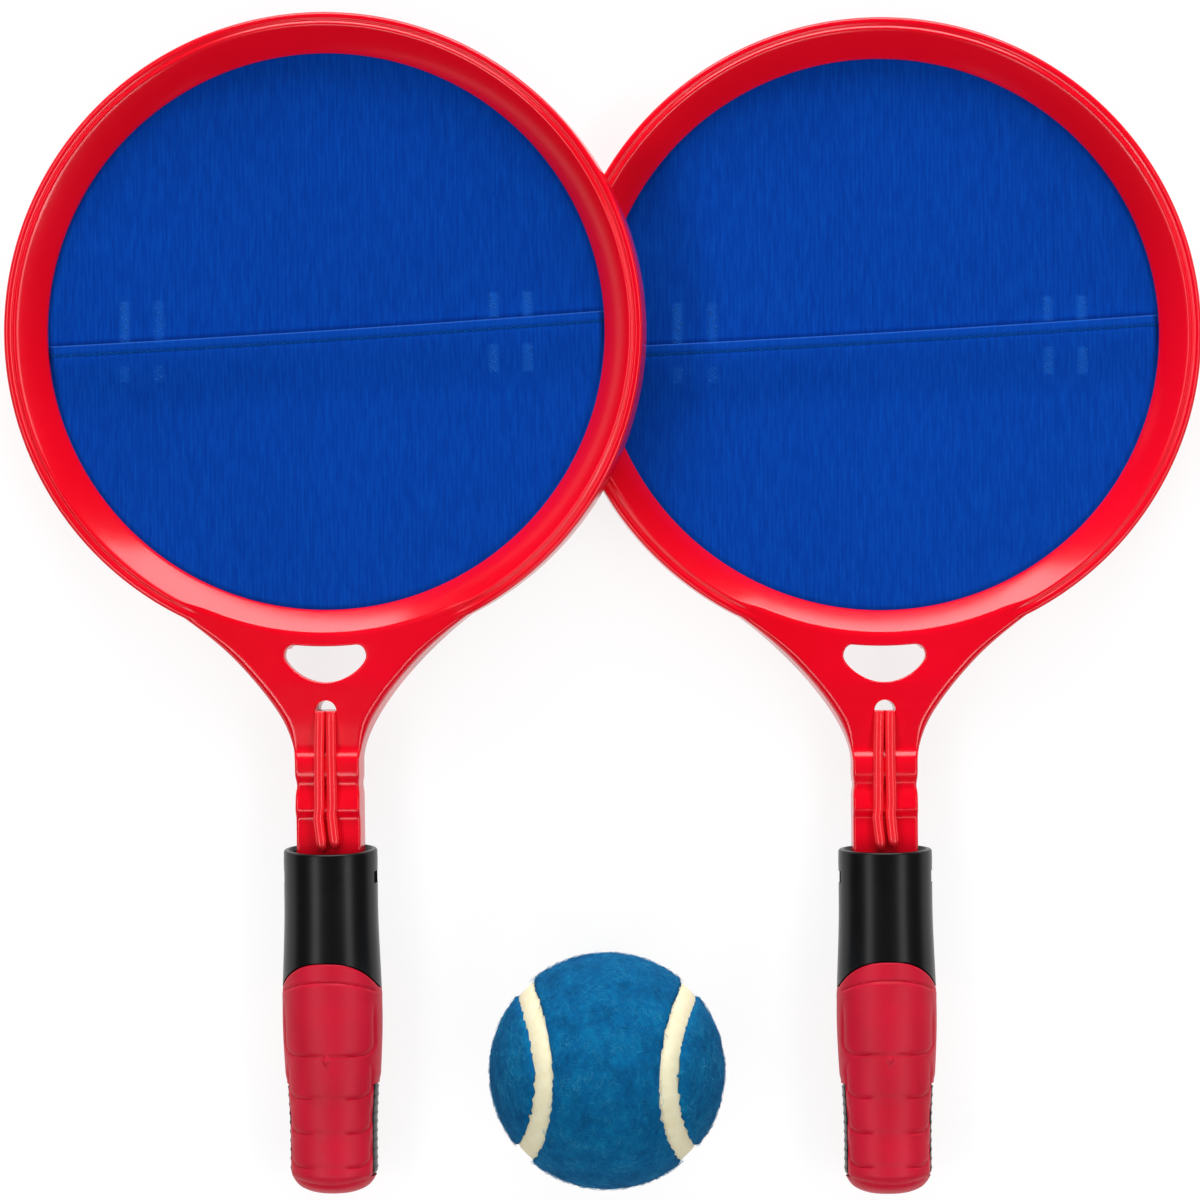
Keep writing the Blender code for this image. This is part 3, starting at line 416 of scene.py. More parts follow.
def ring_section(flat):
    """Radius and height of the ring's section, with beads at flat 0 and a level land at flat 1."""
    top = mix(RING_DEPTH - BEAD_SUNK, PLATE_FRONT, flat)
    foot = 0.25 * MM
    points = [(HEAD_RADIUS - foot, 0.0), (HEAD_RADIUS, foot)]
    points += [(HEAD_RADIUS - run, top - fall) for run, fall in quarter(6, OUTER_ROUND)]
    for i in range(13):
        share = i / 12
        dip = BEAD_DEPTH / 2 * (1 - cos(2 * pi * share)) * (1 - flat)
        points.append((BEAD_CREST - BEAD_PITCH * share, top - dip))
    points.append((mix(*BEAD_FOOT, flat) * MM, top - mix(*BEAD_FOOT_SUNK, flat) * MM))
    crest = (mix(*CREST_END, flat) * MM, top - mix(*CREST_END_SUNK, flat) * MM)
    edge = (OPENING_RADIUS, FLANGE_TOP)
    bulge = mix(RIM_BULGE, 0.12 * MM, flat)
    for i in range(SLOPE_STEPS + 1):
        share = i / SLOPE_STEPS
        rise = 4 * share * (1 - share) * bulge
        points.append((mix(crest[0], edge[0], share), mix(crest[1], edge[1], share) + rise))
    points += [(OPENING_RADIUS - 0.1 * MM, FLANGE_TOP - 0.25 * MM), (OPENING_RADIUS, FLANGE_BACK)]
    pocket = PANEL_RADIUS + 2 * FIT_GAP
    inner = HEAD_RADIUS - RING_WALL
    roof = mix(FLANGE_TOP, crest[1], (pocket - edge[0]) / (crest[0] - edge[0])) - 1.2 * RING_WALL
    points += [(pocket, FLANGE_BACK), (pocket, max(roof, FLANGE_BACK + FIT_GAP))]
    points += [(inner, crest[1] - 1.2 * RING_WALL)]
    points += [(inner, 2.6 * MM), (inner - 0.4 * MM, 1.8 * MM), (inner, 1.0 * MM), (inner, 0.0)]
    return points


def turned(profile, name, crease=40):
    """Carry a profile, which may change with the turn, round the head."""
    turns = [2 * pi * i / RING_SEGMENTS for i in range(RING_SEGMENTS)]
    sections = [[(*head_point(radius, turn), z) for radius, z in profile(turn)] for turn in turns]
    return loft(sections, name, ring=True, crease=crease)


def frame_profile(turn):
    """The ring's section at a turn from the grip's direction."""
    away = abs(turn if turn <= pi else turn - 2 * pi)
    return ring_section(smooth((FLAT_LIMIT - away) / FLAT_BLEND))


# %% [markdown]
# Throat, neck and tang are one long plate. Its plan is a curve from the ring down to the neck, its
# side view has two bumps, and its upper edges are rounded. Sections across it hold all three at
# once, and joining them gives one smooth skin.

# %% Plan and side view of the throat
THROAT_START = RING_EDGE - 12.5 * MM
SECTION_STEP = 0.38 * MM
NOTCH_DEPTH = 0.3 * MM
NOTCH_PLACE = RING_EDGE + 36.0 * MM
RING_POINT = head_point(HEAD_RADIUS - RING_WALL / 4, THROAT_ANGLE)
NECK_POINT = (NECK_WIDTH / 2, -THROAT_END)
THROAT_PULL = 14.8 * MM
NECK_PULL = 12.8 * MM
RING_HANDLE = (
    RING_POINT[0] - THROAT_PULL * cos(THROAT_ANGLE),
    RING_POINT[1] - THROAT_PULL * sin(THROAT_ANGLE),
)
NECK_HANDLE = (NECK_POINT[0], NECK_POINT[1] + NECK_PULL)
PLAN = [(-y, x) for x, y in bezier(RING_POINT, RING_HANDLE, NECK_HANDLE, NECK_POINT, 90)]
BUMP_END = 44.1
BUMPS = [
    (RING_EDGE + place * MM, front + rise * MM)
    for place, front, rise in (
        (9.0, PLATE_FRONT, 0.0), (19.0, PLATE_FRONT, -0.9), (26.6, NECK_FRONT, 0.0),
        (28.8, NECK_FRONT, 1.55), (30.5, NECK_FRONT, 1.6), (33.2, NECK_FRONT, 1.4),
        (35.6, NECK_FRONT, 0.0), (36.6, NECK_FRONT, 0.0), (38.8, NECK_FRONT, 0.9),
        (42.9, NECK_FRONT, 1.6), (BUMP_END, NECK_FRONT, 0.0),
    )
]


def half_width(place):
    """Half the width of throat, neck or tang at a distance below the ring's middle."""
    notch = NOTCH_DEPTH * exp(-(((place - NOTCH_PLACE) / (1.6 * MM)) ** 2))
    return along(PLAN, place) - notch


def front_height(place):
    """Height of the front, its corners softened by a weighted average over a short reach."""
    reach = mix(4.0 * MM, 1.9 * MM, smooth((place - RING_EDGE - 19 * MM) / (6 * MM)))
    total, weights = 0.0, 0.0
    for step in range(-11, 12):
        weight = cos(pi / 2 * step / 12) ** 2
        total += weight * along(BUMPS, place + step / 12 * reach)
        weights += weight
    return total / weights


def slant(place):
    """How much longer the plan's edge is than its stretch along Y."""
    step = 0.3 * MM
    change = (along(PLAN, place + step) - along(PLAN, place - step)) / (2 * step)
    return hypot(1.0, change)


def edge_round(place):
    """Radius of the rounded upper edge: wide on the throat and narrow on the neck."""
    throat = mix(OUTER_ROUND, 2.2 * MM, smooth((place - RING_EDGE + 11 * MM) / (14 * MM)))
    return mix(throat, 0.8 * MM, smooth((place - RING_EDGE - 18 * MM) / (10 * MM)))


def draft(place):
    """How far the plate's side leans in on its way to the front, so that it leaves the mould."""
    begun = smooth((place - RING_EDGE + 11 * MM) / (14 * MM))
    return 0.4 * MM * begun * (1 - smooth((place - RING_EDGE - 17 * MM) / (11 * MM))) + 0.1 * MM


def throat_section(place):
    """Outline of the plate across the racket, at a distance below the ring's middle."""
    half, top, wide = half_width(place), front_height(place), slant(place)
    radius = min(edge_round(place), 0.45 * half / wide)
    lean = draft(place) * wide
    side = [(half - lean - run * wide, top - fall) for run, fall in quarter(8, radius)]
    inner = side[-1][0]
    middle = [(inner * share, top) for share in (0.96, 0.6, 0.2, -0.2, -0.6, -0.96)]
    under = 0.35 * MM
    bottom = [(-half, THROAT_BACK + under), (-half + under, THROAT_BACK)]
    bottom += [(half - under, THROAT_BACK), (half, THROAT_BACK + under)]
    outline = side + middle + [(-x, z) for x, z in reversed(side)] + bottom
    return [(x, -place, z) for x, z in outline]


def throat_plate():
    end = GRIP_MOUTH + TANG_LENGTH
    count = int((end - THROAT_START) / SECTION_STEP)
    places = [mix(THROAT_START, end, i / count) for i in range(count + 1)]
    return loft([throat_section(place) for place in places], "throat")


def disc(radius, low, high, steps=160):
    """A flat disc in the shape of the head, for cutting."""
    outline = [head_point(radius, 2 * pi * i / steps) for i in range(steps)]
    return prism(outline, low, high, "disc")


# %% [markdown]
# The moulding is hollow from behind, as such plates are, so that it cools evenly. The holes are cut
# with forms that widen at the front, which leaves a soft rounded lip.

# %% Hollows, holes and ribs
LIP_ROUND = 0.45 * MM
RIB_WIDTH = 2.75 * MM
RIB_TOP = 13.1 * MM
LEFT_RIB = [(-2.0, -1.5), (11.0, -1.9), (26.0, -2.05), (28.2, -2.35), (37.4, -1.35)]
RIGHT_RIB = [(-2.0, 1.35), (11.0, 1.3), (25.0, 1.45), (27.2, 1.2), (36.5, 2.05)]


def hollow(start, end, roof):
    """A pocket from the back, a wall's thickness inside the plate's edge."""
    sections = []
    for i in range(13):
        place = mix(start, end, i / 12)
        half = half_width(place) - MOULD_WALL * slant(place)
        corners = ((half, -MM), (half, roof), (-half, roof), (-half, -MM))
        sections.append([(x, -place, z) for x, z in corners])
    return loft(sections, "hollow")


def slot_outline(grow=0.0):
    """The D-shaped hole: a top bowed like the ring, round shoulders and a round lower edge."""
    top_radius = HEAD_RADIUS - SLOT_TOP_INSET
    turn = (SLOT_HALF - 2.4 * MM) / top_radius
    top = [head_point(top_radius, mix(-turn, turn, i / 10)) for i in range(11)]
    corner = bezier(
        top[-1],
        (SLOT_HALF - 0.7 * MM, top[-1][1] - 0.05 * MM),
        (SLOT_HALF, -SLOT_WIDEST + 1.2 * MM),
        (SLOT_HALF, -SLOT_WIDEST),
        7,
    )[1:]
    right = bezier(
        corner[-1],
        (SLOT_HALF, -SLOT_WIDEST - 2.1 * MM),
        (0.55 * SLOT_HALF, -SLOT_BOTTOM),
        (0.0, -SLOT_BOTTOM),
        14,
    )[1:]
    half = corner + right[:-1]
    outline = top + half + [right[-1]] + [(-x, y) for x, y in reversed(half)]
    return grown(outline, grow)


def eye_outline(grow=0.0):
    """The half-round hole at the head of the ribs."""
    turns = [pi * i / 16 for i in range(17)]
    outline = [(EYE_RADIUS * cos(turn), -EYE_MIDDLE + EYE_RADIUS * sin(turn)) for turn in turns]
    return grown(outline, grow)


def grown(outline, grow):
    """Move each point of a closed outline outward, square to its two sides."""
    if grow == 0.0:
        return outline
    pairs = [(outline[i - 1], outline[i]) for i in range(len(outline))]
    area = sum(x0 * y1 - x1 * y0 for (x0, y0), (x1, y1) in pairs)
    sense = 1 if area > 0 else -1
    moved = []
    for i, (x, y) in enumerate(outline):
        (x0, y0), (x1, y1) = outline[i - 1], outline[(i + 1) % len(outline)]
        dx, dy = x1 - x0, y1 - y0
        length = hypot(dx, dy)
        moved.append((x + sense * grow * dy / length, y - sense * grow * dx / length))
    return moved


def lipped_cutter(outline, name):
    """A cutter whose section widens at the front by a quarter round."""
    layers = [(-MM, 0.0), (PLATE_FRONT - LIP_ROUND, 0.0)]
    layers += [(PLATE_FRONT - fall, run) for run, fall in quarter(5, LIP_ROUND, 1)]
    layers.append((PLATE_FRONT + MM, LIP_ROUND * 1.3))
    return loft([[(x, y, z) for x, y in outline(grow)] for z, grow in layers], name)


def rib(path, name):
    """A round-topped rib on the neck, swelling from its upper end and tapering to its tip."""
    first, last = path[0][0] * MM, path[-1][0] * MM
    sections = []
    stations = 44
    for i in range(stations + 1):
        share = i / stations
        place = EYE_MIDDLE + mix(first, last, share)
        centre = along([(p * MM, x * MM) for p, x in path], mix(first, last, share))
        tip = sqrt(max(1 - max((share - 0.93) / 0.07, 0.0) ** 2, 0.03))
        half = RIB_WIDTH / 2 * tip * mix(0.9, 1.0, smooth(share * 8))
        top = RIB_TOP - 0.5 * MM * smooth(1 - share * 9) - 1.6 * MM * (1 - tip)
        root = NECK_FRONT - MOULD_WALL / 2
        outline = [(-half, root)]
        for k in range(11):
            angle = pi * (1 - k / 10)
            outline.append((half * cos(angle), top - 0.8 * half * (1 - sin(angle))))
        outline.append((half, root))
        sections.append([(centre + x, -place, z) for x, z in outline])
    return loft(sections, name)


# %% Put the moulding together
NUB_START = GRIP_MOUTH + 5.2 * MM
NUB_END = GRIP_MOUTH + 7.5 * MM
NUB_HALF = 1.8 * MM


def frame_moulding():
    """Ring, throat, neck, ribs and tang as the one moulding that they are."""
    plate = combine(throat_plate(), disc(HEAD_RADIUS - 1.6 * MM, -MM, 2 * RING_DEPTH), "DIFFERENCE")
    ring_side = disc(HEAD_RADIUS + RING_WALL / 3, -2 * MM, 2 * RING_DEPTH)
    first_end = EYE_MIDDLE - EYE_RADIUS - MOULD_WALL
    throat_hollow = hollow(RING_EDGE - 8 * MM, first_end, PLATE_FRONT - MOULD_WALL)
    plate = combine(plate, combine(throat_hollow, ring_side, "DIFFERENCE"), "DIFFERENCE")
    bump_end = RING_EDGE + BUMP_END * MM
    for start, end in (
        (EYE_MIDDLE + MOULD_WALL, bump_end),
        (bump_end + MOULD_WALL, GRIP_MOUTH + 3.1 * MM),
        (GRIP_MOUTH + 9.6 * MM, GRIP_MOUTH + 20.0 * MM),
    ):
        plate = combine(plate, hollow(start, end, NECK_FRONT - MOULD_WALL), "DIFFERENCE")
    collar_top = -(HEAD_RADIUS - RING_WALL / 2) * HEAD_RATIO
    outline = [(x, min(y, collar_top)) for x, y in slot_outline(MOULD_WALL)]
    collar = prism(outline, PLATE_FRONT - 3.6 * MM, PLATE_FRONT - MOULD_WALL / 2, "collar")
    plate = combine(plate, collar, "UNION")
    for path, name in ((LEFT_RIB, "rib_left"), (RIGHT_RIB, "rib_right")):
        plate = combine(plate, rib(path, name), "UNION")
    for side in (-1, 1):
        near, far = side * (NECK_WIDTH / 2 - MM), side * NUB_REACH
        outline = [(near, -NUB_START), (far, -NUB_START), (far, -NUB_END), (near, -NUB_END)]
        nub = prism(outline, NECK_MIDDLE - NUB_HALF, NECK_MIDDLE + NUB_HALF, "nub")
        plate = combine(plate, nub, "UNION")
    body = combine(turned(frame_profile, "frame_moulding"), plate, "UNION")
    for outline, name in ((slot_outline, "slot"), (eye_outline, "eye")):
        body = combine(body, lipped_cutter(outline, name), "DIFFERENCE")
    return body


moulding = frame_moulding()
print("frame moulding:", len(moulding.polygons), "faces")

# %% [markdown]
# Every piece of a racket is made once and laid down twice. The piece keeps its own flat frame as its
# object coordinates, so that its grain is the same on both rackets.

# %% Lay pieces down
def set_down(mesh, name, place, stands_for):
    """Put a piece in the scene, tie it to the body and hide the solids it stands for."""
    piece = bpy.data.objects.new(name, mesh)
    bpy.context.scene.collection.objects.link(piece)
    piece.matrix_world = place
    bpy.context.view_layer.update()
    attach(piece, "root")
    if stands_for:
        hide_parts(*stands_for)
    return piece


def lay(mesh, name, finish, node=None):
    """Set a racket's mesh down on each side, in place of a node of that side."""
    mesh.materials.clear()
    mesh.materials.append(finish)
    made = {}
    for side, pose in POSES.items():
        stands_for = [f"{side}_{node}"] if node else []
        made[side] = set_down(mesh, f"{side}_{name}", pose, stands_for)
    print(name, "laid down:", len(mesh.polygons), "faces each")
    return made


lay(moulding, "frame_moulding", RED, "frame")

# %% [markdown]
# The rear ring is pressed into the back of the moulding and clamps the cloth. It is a plain turned
# ring with broken edges and a groove that snaps over the bead inside the moulding's wall.

# %% Rear ring
def rear_ring():
    """The clamp ring, the same all the way round."""
    outer = HEAD_RADIUS - RING_WALL - FIT_GAP
    inner = OPENING_RADIUS + 2 * FIT_GAP
    top = FABRIC_BACK - FIT_GAP
    edge = 0.35 * MM
    profile = [
        (outer - edge, 0.0), (outer, edge), (outer, 0.6 * MM), (outer - 0.6 * MM, 1.8 * MM),
        (outer, 3.0 * MM), (outer, top), (inner, top), (inner, 0.5 * MM),
    ]
    profile += [(inner + run, fall) for run, fall in quarter(4, 0.5 * MM, 1)]
    return turned(lambda turn: profile, "rear_ring", crease=30)


lay(rear_ring(), "clamp_ring", SATIN_RED, "rear_ring")

# %% [markdown]
# The face is a brushed loop cloth in two halves. Its loops stand in fine rows from grip to head, so
# the cloth is a lattice whose columns follow the rows: crest, slope, valley, slope. Noise
# bends the rows and breaks them up. The lower half is folded at its upper edge and sewn on.

# %% The blue cloth
SEAM_TILT = radians(2.9)
SEAM_OFFSET = 0.7 * MM
SEAM_BOW = 0.5 * MM
HEM_WIDTH = 5.2 * MM
HEM_RISE = 1.5 * MM
STITCH_PLACE = 2.65 * MM
ROW_PITCH = 1.1 * MM
ROW_HEIGHT = 0.025 * MM
LATTICE_STEP = 2.0 * MM


def seam_height(x):
    """Y of the folded edge at a place across the racket, with the slight bow it was sewn with."""
    bow = SEAM_BOW * (0.5 - (x / PANEL_RADIUS) ** 2)
    return SEAM_OFFSET + tan(SEAM_TILT) * x - bow


def row_relief(x, y, phase):
    """Height of the rows of loops, weaker where the brushed pile hides them."""
    worn = noise.noise(Vector((x * 55, y * 38, 1.7)))
    broken = noise.noise(Vector((x * 900, y * 130, 5.1)))
    strength = 0.75 + 0.5 * worn + 0.7 * broken
    return ROW_HEIGHT * strength * phase


def cloth_half(name, rows, front, back):
    """A closed sheet over the lattice points inside the clamped circle.

    Each row gives, for a place across, the Y of a lattice point and its distance from the fold.
    """
    columns = int(PANEL_RADIUS / ROW_PITCH) * 4
    step = ROW_PITCH / 4
    bm = bmesh.new()
    grid = {}
    for j, row in enumerate(rows):
        for i in range(-columns, columns + 1):
            x = i * step
            y, away = row(x)
            if hypot(x, y / HEAD_RATIO) < PANEL_RADIUS:
                phase = (1.0, 0.0, -1.0, 0.0)[i % 4]
                sway = 0.16 * MM * noise.noise(Vector((x * 260, y * 170, 9.0)))
                grid[j, i] = bm.verts.new((x + sway, y, front(x, y, away, phase)))
    for j in range(len(rows) - 1):
        for i in range(-columns, columns):
            corners = [(j, i), (j, i + 1), (j + 1, i + 1), (j + 1, i)]
            if all(corner in grid for corner in corners):
                bm.faces.new([grid[corner] for corner in corners])
    under = double_skin(bm, lambda vert: (vert.co.x, vert.co.y, back(vert.co.x, vert.co.y)))
    hidden = set(under.values())
    seams = [edge for edge in bm.edges if edge.verts[0] in hidden and edge.verts[1] in hidden]
    bmesh.ops.dissolve_limit(bm, angle_limit=radians(0.6), verts=list(hidden), edges=seams)
    return finish_mesh(bm, name, crease=80)


def under_flange(x, y):
    """1 in the open face, easing to 0 where the flange of the ring covers the cloth."""
    return smooth((OPENING_RADIUS - 0.2 * MM - hypot(x, y / HEAD_RATIO)) / (1.6 * MM))


def fold_relief(away):
    """Height of the folded and sewn hem at a distance from its folded edge."""
    roll = 0.55 * MM
    rise = HEM_RISE
    if away < roll:
        rise -= roll * (1 - sqrt(max(1 - (1 - away / roll) ** 2, 0.0)))
    groove = 0.22 * MM * exp(-(((away - STITCH_PLACE) / (0.5 * MM)) ** 2))
    fall = smooth((away - 3.6 * MM) / (16.0 * MM)) if away > STITCH_PLACE else 0.0
    return (rise - groove) * (1 - fall)


def lower_front(x, y, away, phase):
    hem = fold_relief(away)
    pile = row_relief(x, y, phase) * (0.35 if away < 3.4 * MM else 1.0)
    ripple = 0.12 * MM * noise.noise(Vector((x * 120, 3.0, 0.0))) * exp(-away / (3 * MM))
    return FABRIC_FRONT + (hem + pile + ripple) * under_flange(x, y)


def lower_back(x, y):
    away = seam_height(x) - y
    under_hem = FABRIC_FRONT + FIT_GAP - FABRIC_BACK
    near_hem = 1 - smooth((away - 5.0 * MM) / (1.2 * MM))
    return FABRIC_BACK + under_hem * near_hem * under_flange(x, y)


def upper_front(x, y, away, phase):
    return FABRIC_FRONT + row_relief(x, y, phase) * under_flange(x, y) * smooth(away / (1.0 * MM))


def upper_back(x, y):
    return FABRIC_BACK


FOLD_STEPS = [
    0.0, 0.08, 0.2, 0.36, 0.6, 1.0, 1.6, 2.1, 2.4, 2.65, 2.9, 3.2, 3.7, 4.4, 5.1, 5.8, 6.5, 7.5, 8.6,
]
low_steps = [step * MM for step in FOLD_STEPS]
while low_steps[-1] < PANEL_RADIUS + 6 * MM:
    low_steps.append(low_steps[-1] + LATTICE_STEP)
high_count = int(1.1 * PANEL_RADIUS / LATTICE_STEP)
high_steps = [-HEM_WIDTH + FIT_GAP + i * LATTICE_STEP for i in range(high_count)]
lower_rows = [lambda x, s=s: (seam_height(x) - s, s) for s in low_steps]
upper_rows = [lambda x, s=s: (seam_height(x) + s, abs(s)) for s in high_steps]
lower_cloth = cloth_half("lower_cloth", lower_rows, lower_front, lower_back)
upper_cloth = cloth_half("upper_cloth", upper_rows, upper_front, upper_back)
print("cloth:", len(lower_cloth.polygons), "and", len(upper_cloth.polygons), "faces")

# %% [markdown]
# The cloth's colour is a strong blue. Fine streaks follow the rows, a brushed pile lightens it in
# patches, and where the hand strap is sewn on behind, the pile is pressed flat and looks lighter.

# %% Blue cloth material
# Each tack in millimetres: place across, upper end, lower end, and how strongly it shows.
TACKS = [
    (-53.8, 8.9, -2.2, 1.0), (-44.6, 8.9, -2.2, 0.7),
    (45.0, 9.9, 3.2, 0.9), (54.0, 9.9, 3.2, 1.0),
    (-53.8, -8.3, -12.6, 0.5), (-44.6, -8.3, -12.6, 0.45),
    (45.0, -3.8, -11.0, 0.8), (54.0, -3.8, -11.0, 0.85),
]
TACK_HALF = 1.8 * MM
# Colours along the fold: place above it, reach, strength and colour. The first is a painted shadow in
# the crease above the fold, and the third a painted highlight along the fold's edge. The second is the
# plain band and the fourth the stitch line, both the cloth's own colour.
FOLD_TONES_AND_PAINTED_LIGHT = [
    (0.7, 0.9, 0.4, (1, 36, 118)),
    (-1.3, 1.7, 0.45, (10, 80, 190)),
    (-0.1, 0.3, 0.5, (66, 124, 210)),
    (-2.65, 0.6, 0.5, (0, 58, 122)),
]


def blue_cloth(name, shades):
    """Knitted loops in rows: a regular wave across, broken up by long streaks of noise."""
    sheen = {"Sheen_Weight": 0.02, "Sheen_Roughness": 0.5, "Sheen_Tint": srgb(20, 90, 220)}
    recipe = Recipe(name, 0.92, Specular_IOR_Level=0.06, **sheen)
    calc, blend = recipe.calc, recipe.blend
    rows = recipe.wave(2 * pi / (20 * ROW_PITCH), 0.0, "X", pi)
    streaks = recipe.grain(1.0, 3.0, recipe.stretch((1300.0, 150.0, 150.0)), 0.65)
    loops = recipe.grain(2600.0, 3.0)
    clouds = recipe.grain(16.0, 2.0)
    knit = calc(calc(rows, "*", 0.1), "+", calc(streaks, "*", 0.9))
    body = recipe.ramp(knit, *zip((0.36, 0.5, 0.66), shades))
    patch = recipe.ramp(clouds, (0.35, grey(0.93)), (0.65, grey(1.0)))
    shade = blend(1.0, body, patch, "MULTIPLY")
    axes = recipe.axes()
    bow = calc(calc(axes["X"], "POWER", 2.0), "*", SEAM_BOW / PANEL_RADIUS ** 2)
    line = calc(calc(axes["X"], "*", tan(SEAM_TILT)), "+", bow)
    above = calc(axes["Y"], "-", calc(line, "+", SEAM_OFFSET - SEAM_BOW / 2))
    # Blend in the painted shadow above the fold and the painted highlight on its edge, together with the
    # band's and the stitch line's own colours.
    for place, reach, strength, tint in FOLD_TONES_AND_PAINTED_LIGHT:
        off = calc(calc(above, "-", place * MM), "ABSOLUTE")
        share = calc(1.0, "-", calc(off, "/", reach * MM), clamp=True)
        uneven = calc(share, "*", calc(loops, "+", 0.35), clamp=True)
        shade = blend(calc(uneven, "*", strength), shade, srgb(*tint))
    for x, high, low, strength in TACKS:
        across = calc(calc(axes["X"], "-", x * MM), "ABSOLUTE")
        lengthwise = calc(calc(axes["Y"], "-", (high + low) / 2 * MM), "ABSOLUTE")
        beside = calc(calc(TACK_HALF, "-", across), "/", 1.3 * MM, clamp=True)
        past = calc((high - low) / 2 * MM + 0.4 * MM, "-", lengthwise)
        share = calc(beside, "*", calc(past, "/", 0.8 * MM, clamp=True))
        pressed = calc(calc(loops, "*", 0.6 * strength), "+", 0.25 * strength)
        shade = blend(calc(share, "*", pressed), shade, srgb(26, 100, 202))
    recipe.colour(shade)
    recipe.bump(knit, 0.00003, 0.4)
    recipe.bump(loops, 0.00004, 0.5)
    return recipe.material


BLUE = blue_cloth("brushed_blue_cloth", [(1, 59, 160), (2, 65, 169), (4, 73, 178)])
panels = lay(lower_cloth, "lower_cloth", BLUE, "lower_panel")
upper_panels = lay(upper_cloth, "upper_cloth", BLUE, "upper_panel")

# %% [markdown]
# Thread is a thin round tube that dips and rises. The seam is a zigzag of darker thread, and each end
# of the hand strap shows through the face as short rows of lighter thread.

# %% Threads
THREAD_RADIUS = 0.1 * MM


def tube(bm, path, radius, sides=6):
    """Add a thin round tube along a path, narrower at its ends."""
    path = [Vector(point) for point in path]
    last = len(path) - 1
    turns = [2 * pi * k / sides for k in range(sides)]
    loops = []
    for i, point in enumerate(path):
        ahead = (path[min(i + 1, last)] - path[max(i - 1, 0)]).normalized()
        aside = ahead.cross(Vector((0.0, 0.0, 1.0))).normalized()
        over = aside.cross(ahead)
        thick = radius * (0.5 if i in (0, last) else 1.0)
        loops.append([point + (aside * cos(turn) + over * sin(turn)) * thick for turn in turns])
    add_tube(bm, loops)


def cloth_top(x, y):
    """Height of the cloth's front at a place, without its pile."""
    away = seam_height(x) - y
    return FABRIC_FRONT + (fold_relief(away) if away > 0 else 0.0) * under_flange(x, y)


def seam_thread():
    """A zigzag along the stitch line, each stitch arched a little over the cloth."""
    bm = bmesh.new()
    reach = OPENING_RADIUS - 0.8 * MM
    pitch = 1.15 * MM
    swing = 0.32 * MM
    x = -reach
    side = 1
    while x < reach:
        path = []
        for k in range(5):
            share = k / 4
            px = x + pitch * share
            py = seam_height(px) - STITCH_PLACE + side * swing * (1 - 2 * share)
            lift = 0.05 * MM + 0.14 * MM * sin(pi * share)
            path.append((px, py, cloth_top(px, py) + lift))
        tube(bm, path, THREAD_RADIUS)
        x += pitch
        side = -side
    return finish_mesh(bm, "seam_thread", 60)


def tack_threads():
    """Short rows of thread across each bar tack, no two alike."""
    bm = bmesh.new()
    draw = random.Random(4)
    for x, high, low, strength in TACKS:
        y = low + 0.3
        while y < high:
            if draw.random() < 0.45 + 0.45 * strength:
                half = draw.uniform(0.15, 0.5)
                middle = x + draw.choice((-0.9, -0.2, 0.45, 0.95)) + draw.uniform(-0.15, 0.15)
                lean = draw.uniform(-0.18, 0.18)
                path = []
                for k in range(6):
                    share = 2 * k / 5 - 1
                    px = (middle + share * half) * MM
                    py = (y + lean * share) * MM
                    lift = (0.02 + 0.08 * (1 - share * share)) * MM
                    path.append((px, py, cloth_top(px, py) + lift))
                tube(bm, path, 0.065 * MM, 5)
            y += draw.uniform(0.22, 0.5)
    return finish_mesh(bm, "tack_threads", 60)


def thread(name, colour, lighter):
    """Twisted polyester: slanting fibres that catch a little light."""
    recipe = Recipe(name, 0.8, Specular_IOR_Level=0.1)
    twist = recipe.wave(900.0, 1.0, "DIAGONAL")
    recipe.colour(recipe.ramp(twist, (0.2, colour), (0.8, lighter)))
    recipe.bump(twist, 0.00005, 0.6)
    return recipe.material


SEAM_THREAD = thread("dark_teal_thread", (0, 62, 132), (10, 92, 168))
TACK_THREAD = thread("light_blue_thread", (14, 84, 186), (58, 128, 214))
seam_threads = lay(seam_thread(), "seam_thread", SEAM_THREAD)
tacks = lay(tack_threads(), "tack_threads", TACK_THREAD)

# %% [markdown]
# The hand strap is a woven elastic, flat against the back of the face and a little bowed in the
# middle. Ribs run along it, and the threads across them give it a fine weave.

# %% Hand strap
STRAP_LENGTH = 113.0 * MM
STRAP_WIDTH = 21.4 * MM
STRAP_THICKNESS = 1.3 * MM
STRAP_BOW = 1.2 * MM
STRAP_OFFSET = -1.2 * MM


def hand_strap():
    half, top = STRAP_WIDTH / 2, FABRIC_BACK - FIT_GAP
    columns = 48
    sections = []
    for i in range(101):
        share = 2 * i / 100 - 1
        x = share * STRAP_LENGTH / 2
        bow = STRAP_BOW * smooth(1 - abs(x) / (0.36 * STRAP_LENGTH))
        sewn = smooth((abs(x) - 42 * MM) / MM) * (1 - smooth((abs(x) - 56 * MM) / MM))
        front, back = [], []
        for k in range(columns + 1):
            across = 2 * k / columns - 1
            edge = 0.35 * MM * max(abs(across) - 0.96, 0.0) / 0.04
            rib_height = 0.09 * MM * cos(pi * k) * (1 - sewn)
            cross_rib = 0.04 * MM * cos(pi * i)
            front.append((x, STRAP_OFFSET + across * half, top - bow - edge))
            depth = top - bow - STRAP_THICKNESS + edge + rib_height + cross_rib + 0.1 * MM
            back.append((x, STRAP_OFFSET + across * half, depth))
        sections.append(front + back[::-1])
    return loft(sections, "hand_strap", crease=70)


